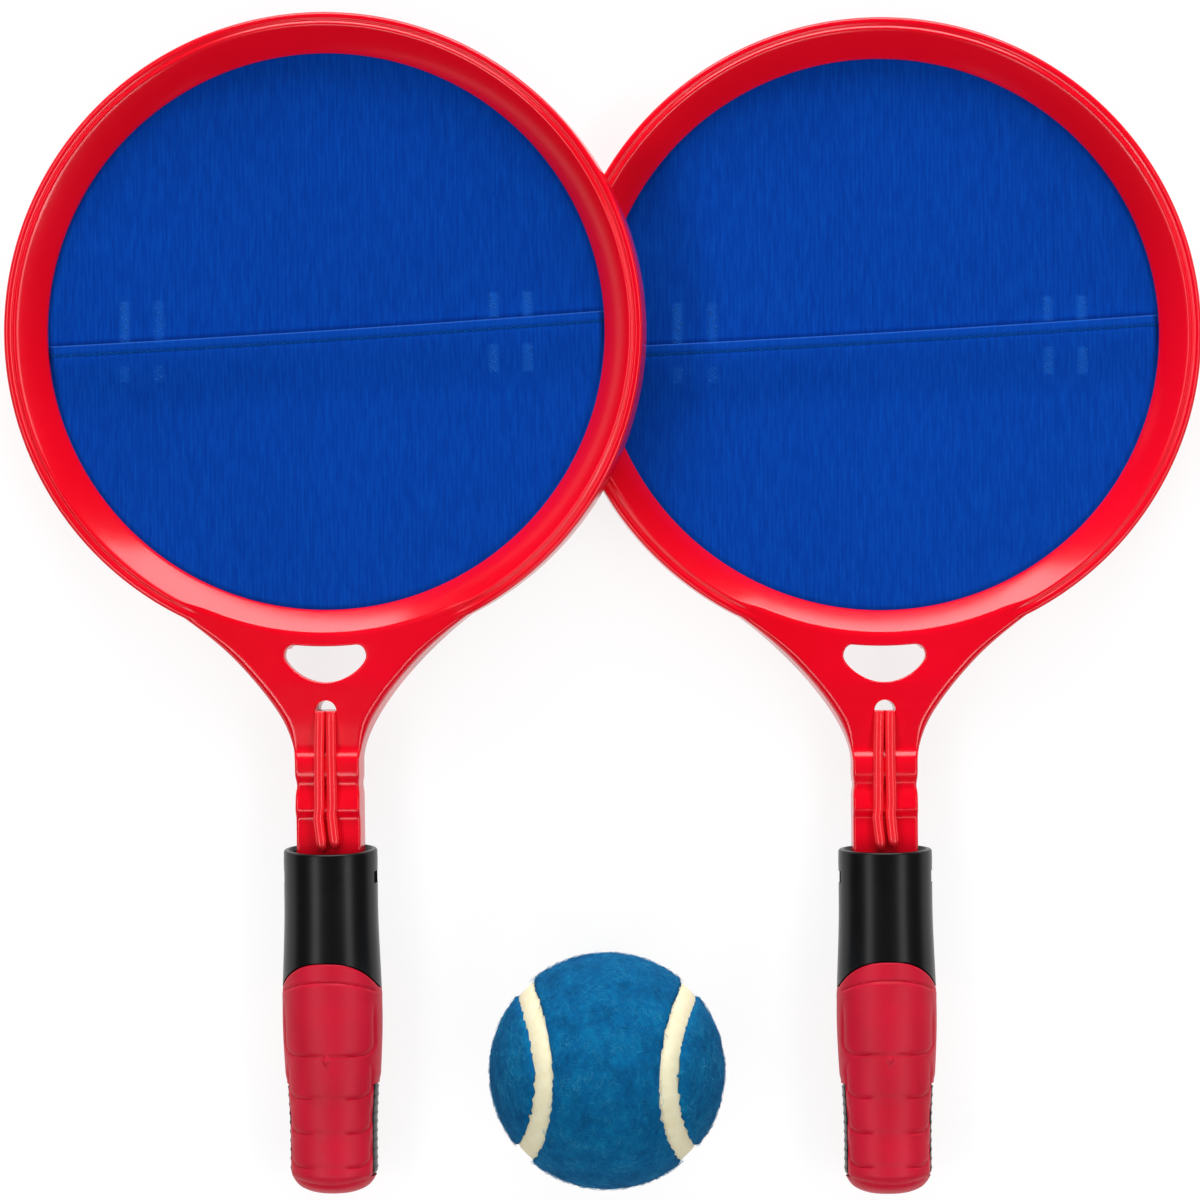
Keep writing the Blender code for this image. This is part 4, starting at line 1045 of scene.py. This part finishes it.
def strap_weave():
    """Elastic: ribs along the strap, crossed by finer threads."""
    recipe = Recipe("woven_elastic", 0.85, Specular_IOR_Level=0.2, Sheen_Weight=0.05)
    weave = recipe.wave(360.0, 0.6, "X")
    both = recipe.calc(weave, "*", recipe.wave(180.0, 0.4, "Y"))
    recipe.colour(recipe.ramp(both, (0.0, (6, 34, 110)), (0.8, (20, 66, 165))))
    recipe.bump(both, 0.0002, 0.7)
    return recipe.material


straps = lay(hand_strap(), "hand_strap_woven", strap_weave(), "hand_strap")

# %% [markdown]
# The grip is an oval tube that swells in the middle. One function gives any point on it by the
# distance from its mouth and the angle round it, and the black core and the crimson cover are both
# read from it, a little deeper or further out. Walls with openings are made from two such grids,
# with some cells left out and their edges closed.

# %% Oval of the grip
GRIP_LENGTH = 90.2 * MM
GRIP_FLATNESS = 0.92
GRIP_SWELL_PLACE = 43.0 * MM
GRIP_TAIL_PLACE = 76.0 * MM
GRIP_END_ROUND = 7.0 * MM
GRIP_WALL = 1.9 * MM
COVER_THICKNESS = 1.4 * MM
CORE_SUNK = COVER_THICKNESS + FIT_GAP
WINDOW_START = 61.0 * MM
WINDOW_END = 85.6 * MM
WINDOW_HALF_ANGLE = radians(22)
AROUND = 216
INNER_STEP = 3


def grip_half_width(place):
    mouth, swell, tail = 12.45 * MM, 13.3 * MM, 12.0 * MM
    if place < GRIP_SWELL_PLACE:
        width = mix(mouth, swell, smooth((place / GRIP_SWELL_PLACE - 0.3) / 0.7))
    else:
        share = (place - GRIP_SWELL_PLACE) / (GRIP_TAIL_PLACE - GRIP_SWELL_PLACE)
        width = mix(swell, tail, smooth(share))
    past = place - (GRIP_LENGTH - GRIP_END_ROUND)
    if past > 0:
        width -= 0.42 * width * (past / GRIP_END_ROUND) ** 3
    return width


def grip_point(place, angle, sunk):
    """A point on the grip's oval section, sunk below its outer surface."""
    width = grip_half_width(min(place, GRIP_LENGTH)) - sunk
    depth = grip_half_width(min(place, GRIP_LENGTH)) * GRIP_FLATNESS - sunk
    return (width * cos(angle), -GRIP_MOUTH - place, NECK_MIDDLE + depth * sin(angle))


def round_angle(column):
    return 2 * pi * column / AROUND


def cover_start(angle):
    """Where the cover begins: an arch at the front and back, lower at the sides."""
    side = abs(cos(angle))
    return (28.4 + 5.8 * side ** 2.7 + 1.6 * side ** 10) * MM


def mouth_lean(place, angle):
    """The mouth is cut a little aslant, its back edge further out than its front edge."""
    return place + (0.7 * sin(angle) - 1.1) * MM * (1 - smooth(place / (7 * MM)))


def shell(outer, inner, keep, name, crease=45):
    """Close a wall between two grids that wrap around, open in the cells that aren't kept.

    The last row is closed. The hidden inner grid takes only every third column.
    """
    bm = bmesh.new()
    made = {}
    rows = len(outer)

    def vertex(kind, row, column):
        column %= AROUND
        if kind == "inner":
            column = column // INNER_STEP * INNER_STEP
        if (kind, row, column) not in made:
            grid = inner if kind == "inner" else outer
            made[kind, row, column] = bm.verts.new(grid[row][column])
        return made[kind, row, column]

    def face(kind, corners):
        kept = list(dict.fromkeys(vertex(kind, *corner) for corner in corners))
        if len(kept) > 2:
            bm.faces.new(kept)

    for row in range(rows - 1):
        for column in range(AROUND):
            if not keep(row, column):
                continue
            corners = ((row, column), (row, column + 1), (row + 1, column + 1), (row + 1, column))
            face("outer", corners)
            face("inner", corners[::-1])
            beside = ((row - 1, column), (row, column + 1), (row + 1, column), (row, column - 1))
            for k, (near_row, near_column) in enumerate(beside):
                closed = near_row >= rows - 1
                if closed or (near_row >= 0 and keep(near_row, near_column % AROUND)):
                    continue
                first, second = corners[k], corners[(k + 1) % 4]
                rim = [vertex("outer", *second), vertex("outer", *first)]
                rim += [vertex("inner", *first), vertex("inner", *second)]
                bm.faces.new(dict.fromkeys(rim))
    for kind in ("outer", "inner"):
        face(kind, [(rows - 1, column) for column in range(AROUND)])
    return finish_mesh(bm, name, crease)


def grid_row(place, sunk):
    """One ring of points; place and sunk are values or functions of the angle."""
    row = []
    for column in range(AROUND):
        angle = round_angle(column)
        where = place(angle) if callable(place) else place
        deep = sunk(angle) if callable(sunk) else sunk
        row.append(grip_point(where, angle, deep))
    return row


# %% Black core
LIP = 0.7 * MM
SNAP_START = 4.9 * MM
SNAP_END = 7.8 * MM
SNAP_HALF_ANGLE = radians(15)


def grip_core():
    """The hollow grip: a rounded mouth with a bevelled bore, snap holes and a sunk lower part."""
    rows = sorted((fall, run) for run, fall in quarter(6, LIP))
    stations = [
        (1.2, 0.0), (2.2, -0.03), (3.2, -0.03), (4.3, 0.0), (SNAP_START / MM, 0.0), (SNAP_END / MM, 0.0),
        (8.5, 0.0), (11.0, 0.0), (14.0, 0.0), (17.0, 0.0), (20.0, 0.0), (23.0, 0.0), (26.0, 0.0),
    ]
    outer, inner = [], []
    for place, sunk in rows:
        outer.append(grid_row(lambda a, p=place: mouth_lean(p, a), sunk))
        bevel = GRIP_WALL - 0.9 * LIP + 0.9 * place
        inner.append(grid_row(lambda a, p=place: mouth_lean(1.6 * p, a), bevel))
    for place, sunk in stations:
        within = place + 0.6 * (place < 2)
        outer.append(grid_row(lambda a, p=place * MM: mouth_lean(p, a), sunk * MM))
        inner.append(grid_row(lambda a, p=within * MM: mouth_lean(p, a), GRIP_WALL))
    snap_row = len(rows) + 4
    for share in (0.2, 0.4, 0.6, 0.8, 1.0):
        outer.append(grid_row(lambda a, s=share: mix(26.6 * MM, cover_start(a) - FIT_GAP, s), 0.0))
        deep = mix(GRIP_WALL, CORE_SUNK + GRIP_WALL, share)
        inner.append(grid_row(mix(26.6, 30.0, share) * MM, deep))
    outer.append(grid_row(lambda a: cover_start(a) - FIT_GAP / 2, CORE_SUNK))
    inner.append(grid_row(30.4 * MM, CORE_SUNK + GRIP_WALL))
    for place in (40.0, 45.0, 50.0, 55.0, 61.0, 66.0, 71.0, 76.0, 80.0, 83.2, 85.0, 86.5):
        outer.append(grid_row(place * MM, CORE_SUNK))
        inner.append(grid_row(place * MM - 0.4 * MM * (place > 84), CORE_SUNK + GRIP_WALL))
    outer.append(grid_row(GRIP_LENGTH - CORE_SUNK, CORE_SUNK + 0.2 * MM))
    inner.append(grid_row(GRIP_LENGTH - CORE_SUNK - GRIP_WALL, CORE_SUNK + GRIP_WALL + 0.2 * MM))

    def keep(row, column):
        angle = round_angle(column + 0.5)
        off_side = min(abs(sin(angle)), 1.0)
        return not (row == snap_row and asin(off_side) < SNAP_HALF_ANGLE)

    core = shell(outer, inner, keep, "grip_core", 38)
    for middle in (0.0, pi):
        core = combine(core, side_land(middle), "UNION")
    return core


def side_land(middle):
    """The raised strip of the core in the cover's side window, with a row of small cross ribs."""
    half_angle = WINDOW_HALF_ANGLE - 0.5 * MM / (12.0 * MM)
    start, end = WINDOW_START + FIT_GAP, WINDOW_END - FIT_GAP
    sections = []
    steps = 60
    for i in range(steps + 1):
        place = mix(start, end, i / steps)
        end_round = 0.5 * MM * max(1 - min(i, steps - i) / 2, 0.0)
        cross = 0.16 * MM * max(sin(2 * pi * i / 6), 0.0)
        section = []
        for k in range(13):
            share = mix(-1, 1, k / 12)
            edge = 0.5 * MM * max(abs(share) - 0.85, 0.0) / 0.15
            sunk = 0.45 * MM + end_round + edge - cross
            section.append(grip_point(place, middle + share * half_angle, sunk))
        for k in range(13):
            share = mix(1, -1, k / 12)
            section.append(grip_point(place, middle + share * half_angle, CORE_SUNK + GRIP_WALL / 2))
        sections.append(section)
    return loft(sections, "side_land")


# %% [markdown]
# The core is satin black plastic. The photo shows two soft streaks of light on it and almost no
# grain, so its roughness stays even, with a very fine texture.

# %% Black and crimson finishes
def black_plastic():
    recipe = Recipe("satin_black", 0.28, Specular_IOR_Level=0.26)
    recipe.colour(recipe.ramp(recipe.grain(90.0, 3.0), (0.3, (12, 12, 12)), (0.7, (17, 16, 16))))
    recipe.rough(recipe.grain(420.0, 3.0), 0.26, 0.32)
    recipe.bump(recipe.grain(3200.0, 2.0), 0.00001, 0.6)
    return recipe.material


def crimson_rubber():
    recipe = Recipe("soft_crimson", 0.45, Specular_IOR_Level=0.25)
    cloud = recipe.grain(120.0, 4.0, recipe.stretch((1.0, 0.35, 1.0)))
    recipe.colour(recipe.ramp(cloud, (0.3, (200, 14, 44)), (0.7, (216, 20, 54))))
    recipe.rough(recipe.grain(800.0, 3.0), 0.4, 0.52)
    recipe.bump(recipe.grain(2400.0, 3.0), 0.00003, 0.6)
    return recipe.material


lay(grip_core(), "grip_core_fine", black_plastic(), "grip_core")

# %% [markdown]
# The cover is a soft skin with finger pads on its front and back. Its relief is a sum of simple
# forms: an arched groove, pads that swell toward their lower edge and step down there, a small
# diamond where the pads meet, and a groove round the end. Each is a function of the place on the
# grip, so the whole relief is one number that sinks the surface.

# %% Crimson cover
PADS = [(37.5, 52.9, 12.0), (53.9, 64.3, 11.3), (65.2, 73.6, 11.0), (74.4, 82.6, 10.8)]
PAD_CORNER = 3.0
LINE_DEPTH = 0.42
LINE_WIDTH = 0.3


def notch(value, middle, width):
    """A smooth bump of height 1 at the middle."""
    return exp(-(((value - middle) / width) ** 2))


def pad_sunk(x, p):
    """Relief of the finger pads in millimetres: thin lines round their lower halves, pads proud."""
    sunk = 0.0
    away = abs(x)
    for number, (top, low, half) in enumerate(PADS):
        beside = away - (half - PAD_CORNER)
        past = abs(p - (top + low) / 2) - ((low - top) / 2 - PAD_CORNER)
        off = hypot(max(beside, 0.0), max(past, 0.0)) + min(max(beside, past), 0.0) - PAD_CORNER
        lower = smooth((p - top) / (0.55 * (low - top)))
        middle = smooth((away - 3.4) / 3.0)
        if number == 0:
            middle = 0.55 + 0.45 * smooth((away - 1.5) / 2.5)
        sunk += LINE_DEPTH * notch(off, 0.0, LINE_WIDTH) * lower * middle
        sunk -= 0.2 * smooth(-off / 1.6) * lower
    diamond = max(1 - abs(p - 53.9) / 2.4 - away / 1.15, 0.0)
    return sunk - 0.5 * smooth(diamond * 1.6)


def cover_sunk(place, angle):
    """How far the cover's skin lies below the grip's surface, in metres."""
    p = place / MM
    x = grip_half_width(place) / MM * cos(angle)
    front = smooth(abs(sin(angle)) / 0.35)
    arch = 33.4 + 3.4 * abs(cos(angle)) ** 2.7
    sunk = 0.4 * notch(p, arch, 0.32) * smooth((12.6 - abs(x)) / 1.2)
    sunk -= 0.1 * smooth((p - arch) / 0.6) * smooth((40 - p) / 4)
    sunk += pad_sunk(x, p) * front
    band = 87.4 - 0.016 * x * x
    sunk += 0.35 * notch(p, band, 0.32) + 0.75 * smooth((p - 84.8) / 2.4)
    window = smooth((p - 58.5) / 2.0) * smooth((0.5 - abs(sin(angle))) / 0.1)
    sunk += 0.25 * window * smooth((87.0 - p) / 1.0)
    return sunk * MM


def grip_cover():
    """The soft cover: an arched start, a window in each side and a closed round end."""
    outer, inner, windows = [], [], []
    first = 0.3 * COVER_THICKNESS

    def add(place, extra=0.0, inner_place=None):
        where = place if callable(place) else (lambda angle: place)
        outer.append(grid_row(where, lambda angle: cover_sunk(where(angle), angle) + extra))
        inside = where if inner_place is None else inner_place
        inner.append(grid_row(inside, COVER_THICKNESS))

    for extra, shift in ((first, 0.0), (0.35 * first, 0.14), (0.08 * first, 0.35), (0.0, 0.7)):
        add(lambda angle, s=shift: cover_start(angle) + s * MM, extra)
    rows = 84
    for i in range(1, rows + 1):
        add(lambda angle, s=i / rows: mix(cover_start(angle) + 0.7 * MM, WINDOW_START, s))
    windows.append(len(outer) - 1)
    for i in range(1, 67):
        add(mix(WINDOW_START, WINDOW_END, i / 66))
    windows.append(len(outer) - 1)
    end_wall = GRIP_LENGTH - COVER_THICKNESS
    for place in (86.1, 86.6, 87.0, 87.4, 87.8, 88.2):
        add(place * MM, 0.0, min(place, 88.1) * MM)
    for i in range(1, 9):
        turn = radians(90 * i / 8)
        inside = min(88.1 * MM + 0.08 * MM * i, end_wall)
        add(88.2 * MM + 2.0 * MM * sin(turn), 2.0 * MM * (1 - cos(turn)), inside)
    for extra in (4.0, 7.0):
        outer.append(grid_row(GRIP_LENGTH, extra * MM))
        inner.append(grid_row(end_wall, extra * MM + COVER_THICKNESS / 2))

    def keep(row, column):
        angle = round_angle(column + 0.5)
        beside = asin(min(abs(sin(angle)), 1.0)) < WINDOW_HALF_ANGLE
        return not (windows[0] <= row < windows[1] and beside)

    return shell(outer, inner, keep, "grip_cover", 50)


lay(grip_cover(), "grip_cover_soft", crimson_rubber(), "grip_cover")

# %% [markdown]
# The ball is a rubber ball in two dumbbell-shaped felts. The line between them is the well-known
# seam curve. For any direction the nearest point of that curve says how far away the seam is and on
# which side, and that one measure shapes the cream band, the ragged edge of the felt and its fibres.

# %% Seam of the ball
BALL_RADIUS = 30.8 * MM
SEAM_WAIST = 0.769
SEAM_HALF = 2.85 * MM
FELT_THICKNESS = 1.2 * MM
BALL_TURN = radians(-45)
BALL_LEAN = radians(-1.2)
ball_middle = node_points("ball_core").mean(axis=0)
BALL_POSE = Matrix.Translation(Vector(ball_middle))
BALL_POSE = BALL_POSE @ Matrix.Rotation(BALL_LEAN, 4, "Y") @ Matrix.Rotation(BALL_TURN, 4, "Z")
SEAM_POINTS = 900


def seam_point(turn):
    """A point of the ball's seam on the unit sphere."""
    rest = 1 - SEAM_WAIST
    return Vector((
        SEAM_WAIST * cos(turn) + rest * cos(3 * turn),
        SEAM_WAIST * sin(turn) - rest * sin(3 * turn),
        2 * sqrt(SEAM_WAIST * rest) * sin(2 * turn),
    ))


seam_tree = KDTree(SEAM_POINTS)
seam_across = []
for index in range(SEAM_POINTS):
    turn = 2 * pi * index / SEAM_POINTS
    here = seam_point(turn).normalized()
    ahead = (seam_point(turn + 0.01) - seam_point(turn - 0.01)).normalized()
    seam_across.append(here.cross(ahead).normalized())
    seam_tree.insert(here, index)
seam_tree.balance()


def seam_distance(direction):
    """Distance from the seam along the ball's surface, negative on one of its sides."""
    point, index, chord = seam_tree.find(direction)
    side = 1 if (direction - point).dot(seam_across[index]) > 0 else -1
    return side * 2 * asin(min(chord / 2, 1.0)) * BALL_RADIUS


def ball_side(name):
    """On which side of the seam a solid felt lies, read from its points."""
    to_ball = BALL_POSE.inverted()
    votes = 0
    for vert in nodes[name].data.vertices:
        distance = seam_distance((to_ball @ vert.co).normalized())
        if abs(distance) > 4 * MM:
            votes += 1 if distance > 0 else -1
    return 1 if votes > 0 else -1


FELT_SIDES = {name: ball_side(f"ball_{name}") for name in ("felt_low", "felt_high")}
print("felts lie on sides", FELT_SIDES, "ball middle", [round(c / MM, 2) for c in ball_middle], "mm")


# %% Rubber core and its cream band
def lay_ball(mesh, name, finish, stands_for=()):
    """Turn one of the ball's meshes as the real ball lies, and set it down."""
    mesh.materials.append(finish)
    mesh.transform(BALL_POSE.to_3x3().to_4x4())
    print(name, "laid down:", len(mesh.polygons), "faces")
    return set_down(mesh, name, Matrix.Translation(BALL_POSE.translation), stands_for)


def ball_core():
    """A ball that rises to a low rounded rib along the seam."""
    bm = bmesh.new()
    bmesh.ops.create_icosphere(bm, subdivisions=5, radius=1.0)
    low = BALL_RADIUS - FELT_THICKNESS - FIT_GAP
    for vert in bm.verts:
        direction = vert.co.normalized()
        away = abs(seam_distance(direction))
        rib = 0.85 * MM * smooth((3.4 * MM - away) / (0.9 * MM))
        grain = 0.05 * MM * noise.noise(direction * 40)
        vert.co = direction * (low + rib + grain)
    return finish_mesh(bm, "ball_core", 60)


def cream_rubber():
    recipe = Recipe("cream_seam", 0.85, Specular_IOR_Level=0.3)
    stops = [(0.3, (250, 240, 198)), (0.6, (254, 247, 212)), (0.8, (255, 250, 224))]
    recipe.colour(recipe.ramp(recipe.grain(420.0, 4.0), *stops))
    recipe.bump(recipe.grain(1800.0, 4.0), 0.00012, 0.8)
    return recipe.material


lay_ball(ball_core(), "ball_core_fine", cream_rubber(), ["ball_core"])

# %% [markdown]
# A felt is a thick closed skin. Its faces come from a fine ball: those beyond the ragged edge line
# are kept, the points nearest the line are moved onto it, and the skin is closed with an inner side
# and a rim. Lumps of noise raise it, because wool felt is never smooth.

# %% The two felts
EDGE_REACH = 0.33 * MM


def ragged_half(direction):
    """Half the width of the bare band at a place, with the fringe's fine notches."""
    fine = noise.noise(direction * 75)
    coarse = noise.noise(direction * 18)
    return SEAM_HALF + (0.46 * fine + 0.18 * coarse) * MM


def felt_radius(direction, past_edge):
    """Radius of the felt's surface, rolled down at its edge."""
    lumps = 0.16 * noise.noise(direction * 9) + 0.13 * noise.noise(direction * 26)
    pile = 0.11 * noise.noise(direction * 62) + 0.07 * noise.noise(direction * 120)
    roll = 0.75 * (1 - smooth(past_edge / (1.1 * MM))) ** 2
    return BALL_RADIUS + (lumps + pile - roll - 0.1) * MM


def felt(side, name):
    bm = bmesh.new()
    bmesh.ops.create_icosphere(bm, subdivisions=6, radius=1.0)
    spare = {}
    for vert in bm.verts:
        direction = vert.co.normalized()
        spare[vert] = side * seam_distance(direction) - ragged_half(direction)
    gone = [face for face in bm.faces if any(spare[vert] < -EDGE_REACH for vert in face.verts)]
    bmesh.ops.delete(bm, geom=gone, context="FACES")

    def inside(vert):
        """The point's place on the felt's back; the point itself moves to the felt's front."""
        direction = vert.co.normalized()
        if spare[vert] < 0:
            _, index, _ = seam_tree.find(direction)
            push = seam_across[index] * side * (-spare[vert] / BALL_RADIUS)
            direction = (direction + push).normalized()
        vert.co = direction * felt_radius(direction, max(spare[vert], 0.0))
        return direction * (BALL_RADIUS - FELT_THICKNESS)

    double_skin(bm, inside)
    return finish_mesh(bm, name, 75)


def felt_wool(name, deep, middle, light, sheen):
    """Brushed wool: clouds of colour under fine wisps."""
    settings = {"Sheen_Weight": sheen, "Sheen_Roughness": 0.55, "Sheen_Tint": srgb(30, 140, 200)}
    recipe = Recipe(name, 0.95, Specular_IOR_Level=0.12, **settings)
    clouds = recipe.grain(150.0, 4.0)
    wisps = recipe.grain(620.0, 5.0, recipe.stretch((1.0, 0.6, 1.3), (0.5, 0.4, 0.9)), 0.7)
    both = recipe.calc(recipe.calc(clouds, "*", 0.45), "+", recipe.calc(wisps, "*", 0.55))
    recipe.colour(recipe.ramp(both, (0.36, deep), (0.5, middle), (0.66, light)))
    recipe.bump(wisps, 0.0006, 0.7)
    recipe.bump(recipe.grain(2400.0, 3.0), 0.00025, 0.6)
    return recipe.material


WOOL = felt_wool("teal_wool_felt", (1, 80, 130), (2, 98, 152), (10, 120, 168), 0.03)
FIBRE = felt_wool("teal_wool_fibre", (12, 108, 160), (36, 136, 184), (84, 168, 204), 0.05)

# %% [markdown]
# Loose wool fibres lie on the felt in short curls, and hang over its edge. Each is a thin three-sided
# thread along a bent line, drawn with a fixed seed. There are enough of them to soften the outline.

# %% Wool fibres
FIBRES_EACH = 3100
FIBRE_STEPS = 4


def fibre(bm, start, heading, length, curl, lift, thick):
    """A curled thread that starts in the felt, rises and comes down again."""
    path = []
    position, forward = start.copy(), heading.copy()
    for k in range(FIBRE_STEPS + 1):
        share = k / FIBRE_STEPS
        up = position.normalized()
        radius = BALL_RADIUS + lift * sin(pi * min(share * 1.1, 1.0)) - 0.1 * MM * (k == 0)
        path.append(up * radius)
        forward = (Matrix.Rotation(curl / FIBRE_STEPS, 3, up) @ forward).normalized()
        position = position + forward * (length / FIBRE_STEPS / BALL_RADIUS)
    loops = []
    for k, point in enumerate(path):
        ahead = (path[min(k + 1, FIBRE_STEPS)] - path[max(k - 1, 0)]).normalized()
        up = point.normalized()
        aside = ahead.cross(up).normalized()
        size = thick * (1.0 if 0 < k < FIBRE_STEPS else 0.45)
        corners = (aside, (up * 0.87 - aside * 0.5), (-up * 0.87 - aside * 0.5))
        loops.append([point + corner * size for corner in corners])
    add_tube(bm, loops)


def fibres(side, seed, name):
    """Curls of wool spread over one felt, shorter and lower near its edge."""
    bm = bmesh.new()
    draw = random.Random(seed)
    made = 0
    while made < FIBRES_EACH:
        start = Vector((draw.gauss(0, 1), draw.gauss(0, 1), draw.gauss(0, 1))).normalized()
        spare = side * seam_distance(start) - SEAM_HALF
        if spare < 0.1 * MM:
            continue
        near_edge = spare < 1.2 * MM
        heading = Vector((draw.gauss(0, 1), draw.gauss(0, 1), draw.gauss(0, 1)))
        heading = start.cross(heading).normalized()
        length = draw.uniform(0.5, 1.3) * MM if near_edge else draw.uniform(1.2, 3.4) * MM
        curl = draw.uniform(-3.6, 3.6)
        lift = draw.uniform(0.02, 0.42) * MM * (0.6 if near_edge else 1.0)
        fibre(bm, start, heading, length, curl, lift, draw.uniform(0.022, 0.045) * MM)
        made += 1
    return finish_mesh(bm, name, 80)


for number, (name, side) in enumerate(FELT_SIDES.items()):
    skin = lay_ball(felt(side, name), f"ball_{name}_skin", WOOL, [f"ball_{name}"])
    wool = lay_ball(fibres(side, 11 + number, name), f"ball_{name}_fibres", FIBRE)

# %% [markdown]
# The set lies on a pale floor. The floor looks white to the camera and in reflections, and still
# takes the soft shadow. Five large soft lamps light it: a broad low one beyond the heads, which
# gives the pink gleam inside each ring, two long ones at the sides, which give the streaks on the
# grips, and two smaller ones beyond the grips, which fill what would be dark.

# %% Floor
def floor_finish():
    """White to the camera and in reflections, a plain pale surface to all other light."""
    recipe = Recipe("pale_floor", 0.9)
    recipe.colour(recipe.ramp(recipe.grain(3.0, 2.0), (0.4, (250, 250, 250)), (0.6, (253, 253, 253))))
    glow = recipe.node("Emission", {"Color": grey(1.0), "Strength": 0.83})
    soft = recipe.node("BsdfDiffuse", {"Color": grey(0.23)})
    both = recipe.node("AddShader", {0: glow.outputs[0], 1: soft.outputs[0]})
    rays = recipe.node("LightPath").outputs
    seen = recipe.calc(rays["Is Camera Ray"], "MAXIMUM", rays["Is Glossy Ray"])
    seen = recipe.calc(seen, "MAXIMUM", rays["Is Transmission Ray"])
    sides = {0: seen, 1: recipe.shader.outputs[0], 2: both.outputs[0]}
    surface = recipe.tree.nodes["Material Output"].inputs["Surface"]
    recipe.tree.links.new(recipe.node("MixShader", sides).outputs[0], surface)
    return recipe.material


FLOOR_HALF = 12.0
bm = bmesh.new()
for x, y in ((-1, -1), (1, -1), (1, 1), (-1, 1)):
    bm.verts.new((x * FLOOR_HALF, y * FLOOR_HALF, -0.05 * MM))
bm.faces.new(bm.verts)
floor_mesh = bpy.data.meshes.new("floor")
bm.to_mesh(floor_mesh)
bm.free()
floor_mesh.materials.append(floor_finish())
floor = bpy.data.objects.new("floor", floor_mesh)
bpy.context.scene.collection.objects.link(floor)
print("floor:", 2 * FLOOR_HALF, "m wide")


# %% Lamps and world
def lamp(name, turn, height, distance, size, power):
    """A soft lamp that faces the set from a compass turn and a height, both in degrees."""
    turn, height = radians(turn), radians(height)
    data = bpy.data.lights.new(name, "AREA")
    data.shape = "RECTANGLE"
    data.size, data.size_y = size
    data.energy = power
    made = bpy.data.objects.new(name, data)
    spot = Vector((sin(turn) * cos(height), cos(turn) * cos(height), sin(height)))
    made.location = spot * distance
    made.rotation_euler = (-spot).to_track_quat("-Z", "Y").to_euler()
    bpy.context.scene.collection.objects.link(made)


lamp("lamp_far", 0, 18, 1.5, (1.5, 0.95), 28.0)
lamp("lamp_left", -90, 52, 1.4, (1.3, 0.34), 4.4)
lamp("lamp_right", 90, 52, 1.4, (1.3, 0.34), 4.4)
lamp("lamp_near_left", -140, 50, 1.5, (0.9, 0.4), 4.4)
lamp("lamp_near_right", 140, 50, 1.5, (0.9, 0.4), 4.4)

world = bpy.data.worlds.new("studio")
bpy.context.scene.world = world
world.use_nodes = True
background = world.node_tree.nodes["Background"]
background.inputs["Color"].default_value = grey(1.0)
background.inputs["Strength"].default_value = 0.04
print("lamps:", len(bpy.data.lights))

# %% [markdown]
# The camera hangs straight above the set. Its place and lens come from matching the rings, the grips
# and the ball with where they appear in the picture.

# %% Camera
CAMERA_PLACE = Vector((-10.7, 11.6, 1200.0)) * MM
CAMERA_TURNS = (radians(-0.497), radians(-0.489), radians(0.159))
camera_data = bpy.data.cameras.new("camera")
camera_data.sensor_width = 36.0
camera_data.lens = 134.2
camera_data.clip_start = 0.05
camera_data.clip_end = 10.0
camera = bpy.data.objects.new("camera", camera_data)
facing = Matrix.Identity(4)
for turn, axis in zip(CAMERA_TURNS, "XYZ"):
    facing = facing @ Matrix.Rotation(turn, 4, axis)
camera.matrix_world = Matrix.Translation(CAMERA_PLACE) @ facing
bpy.context.scene.collection.objects.link(camera)
bpy.context.scene.camera = camera
bpy.context.scene.view_settings.view_transform = "Standard"
print("camera:", camera_data.lens, "mm lens,", round(CAMERA_PLACE.z, 2), "m up")
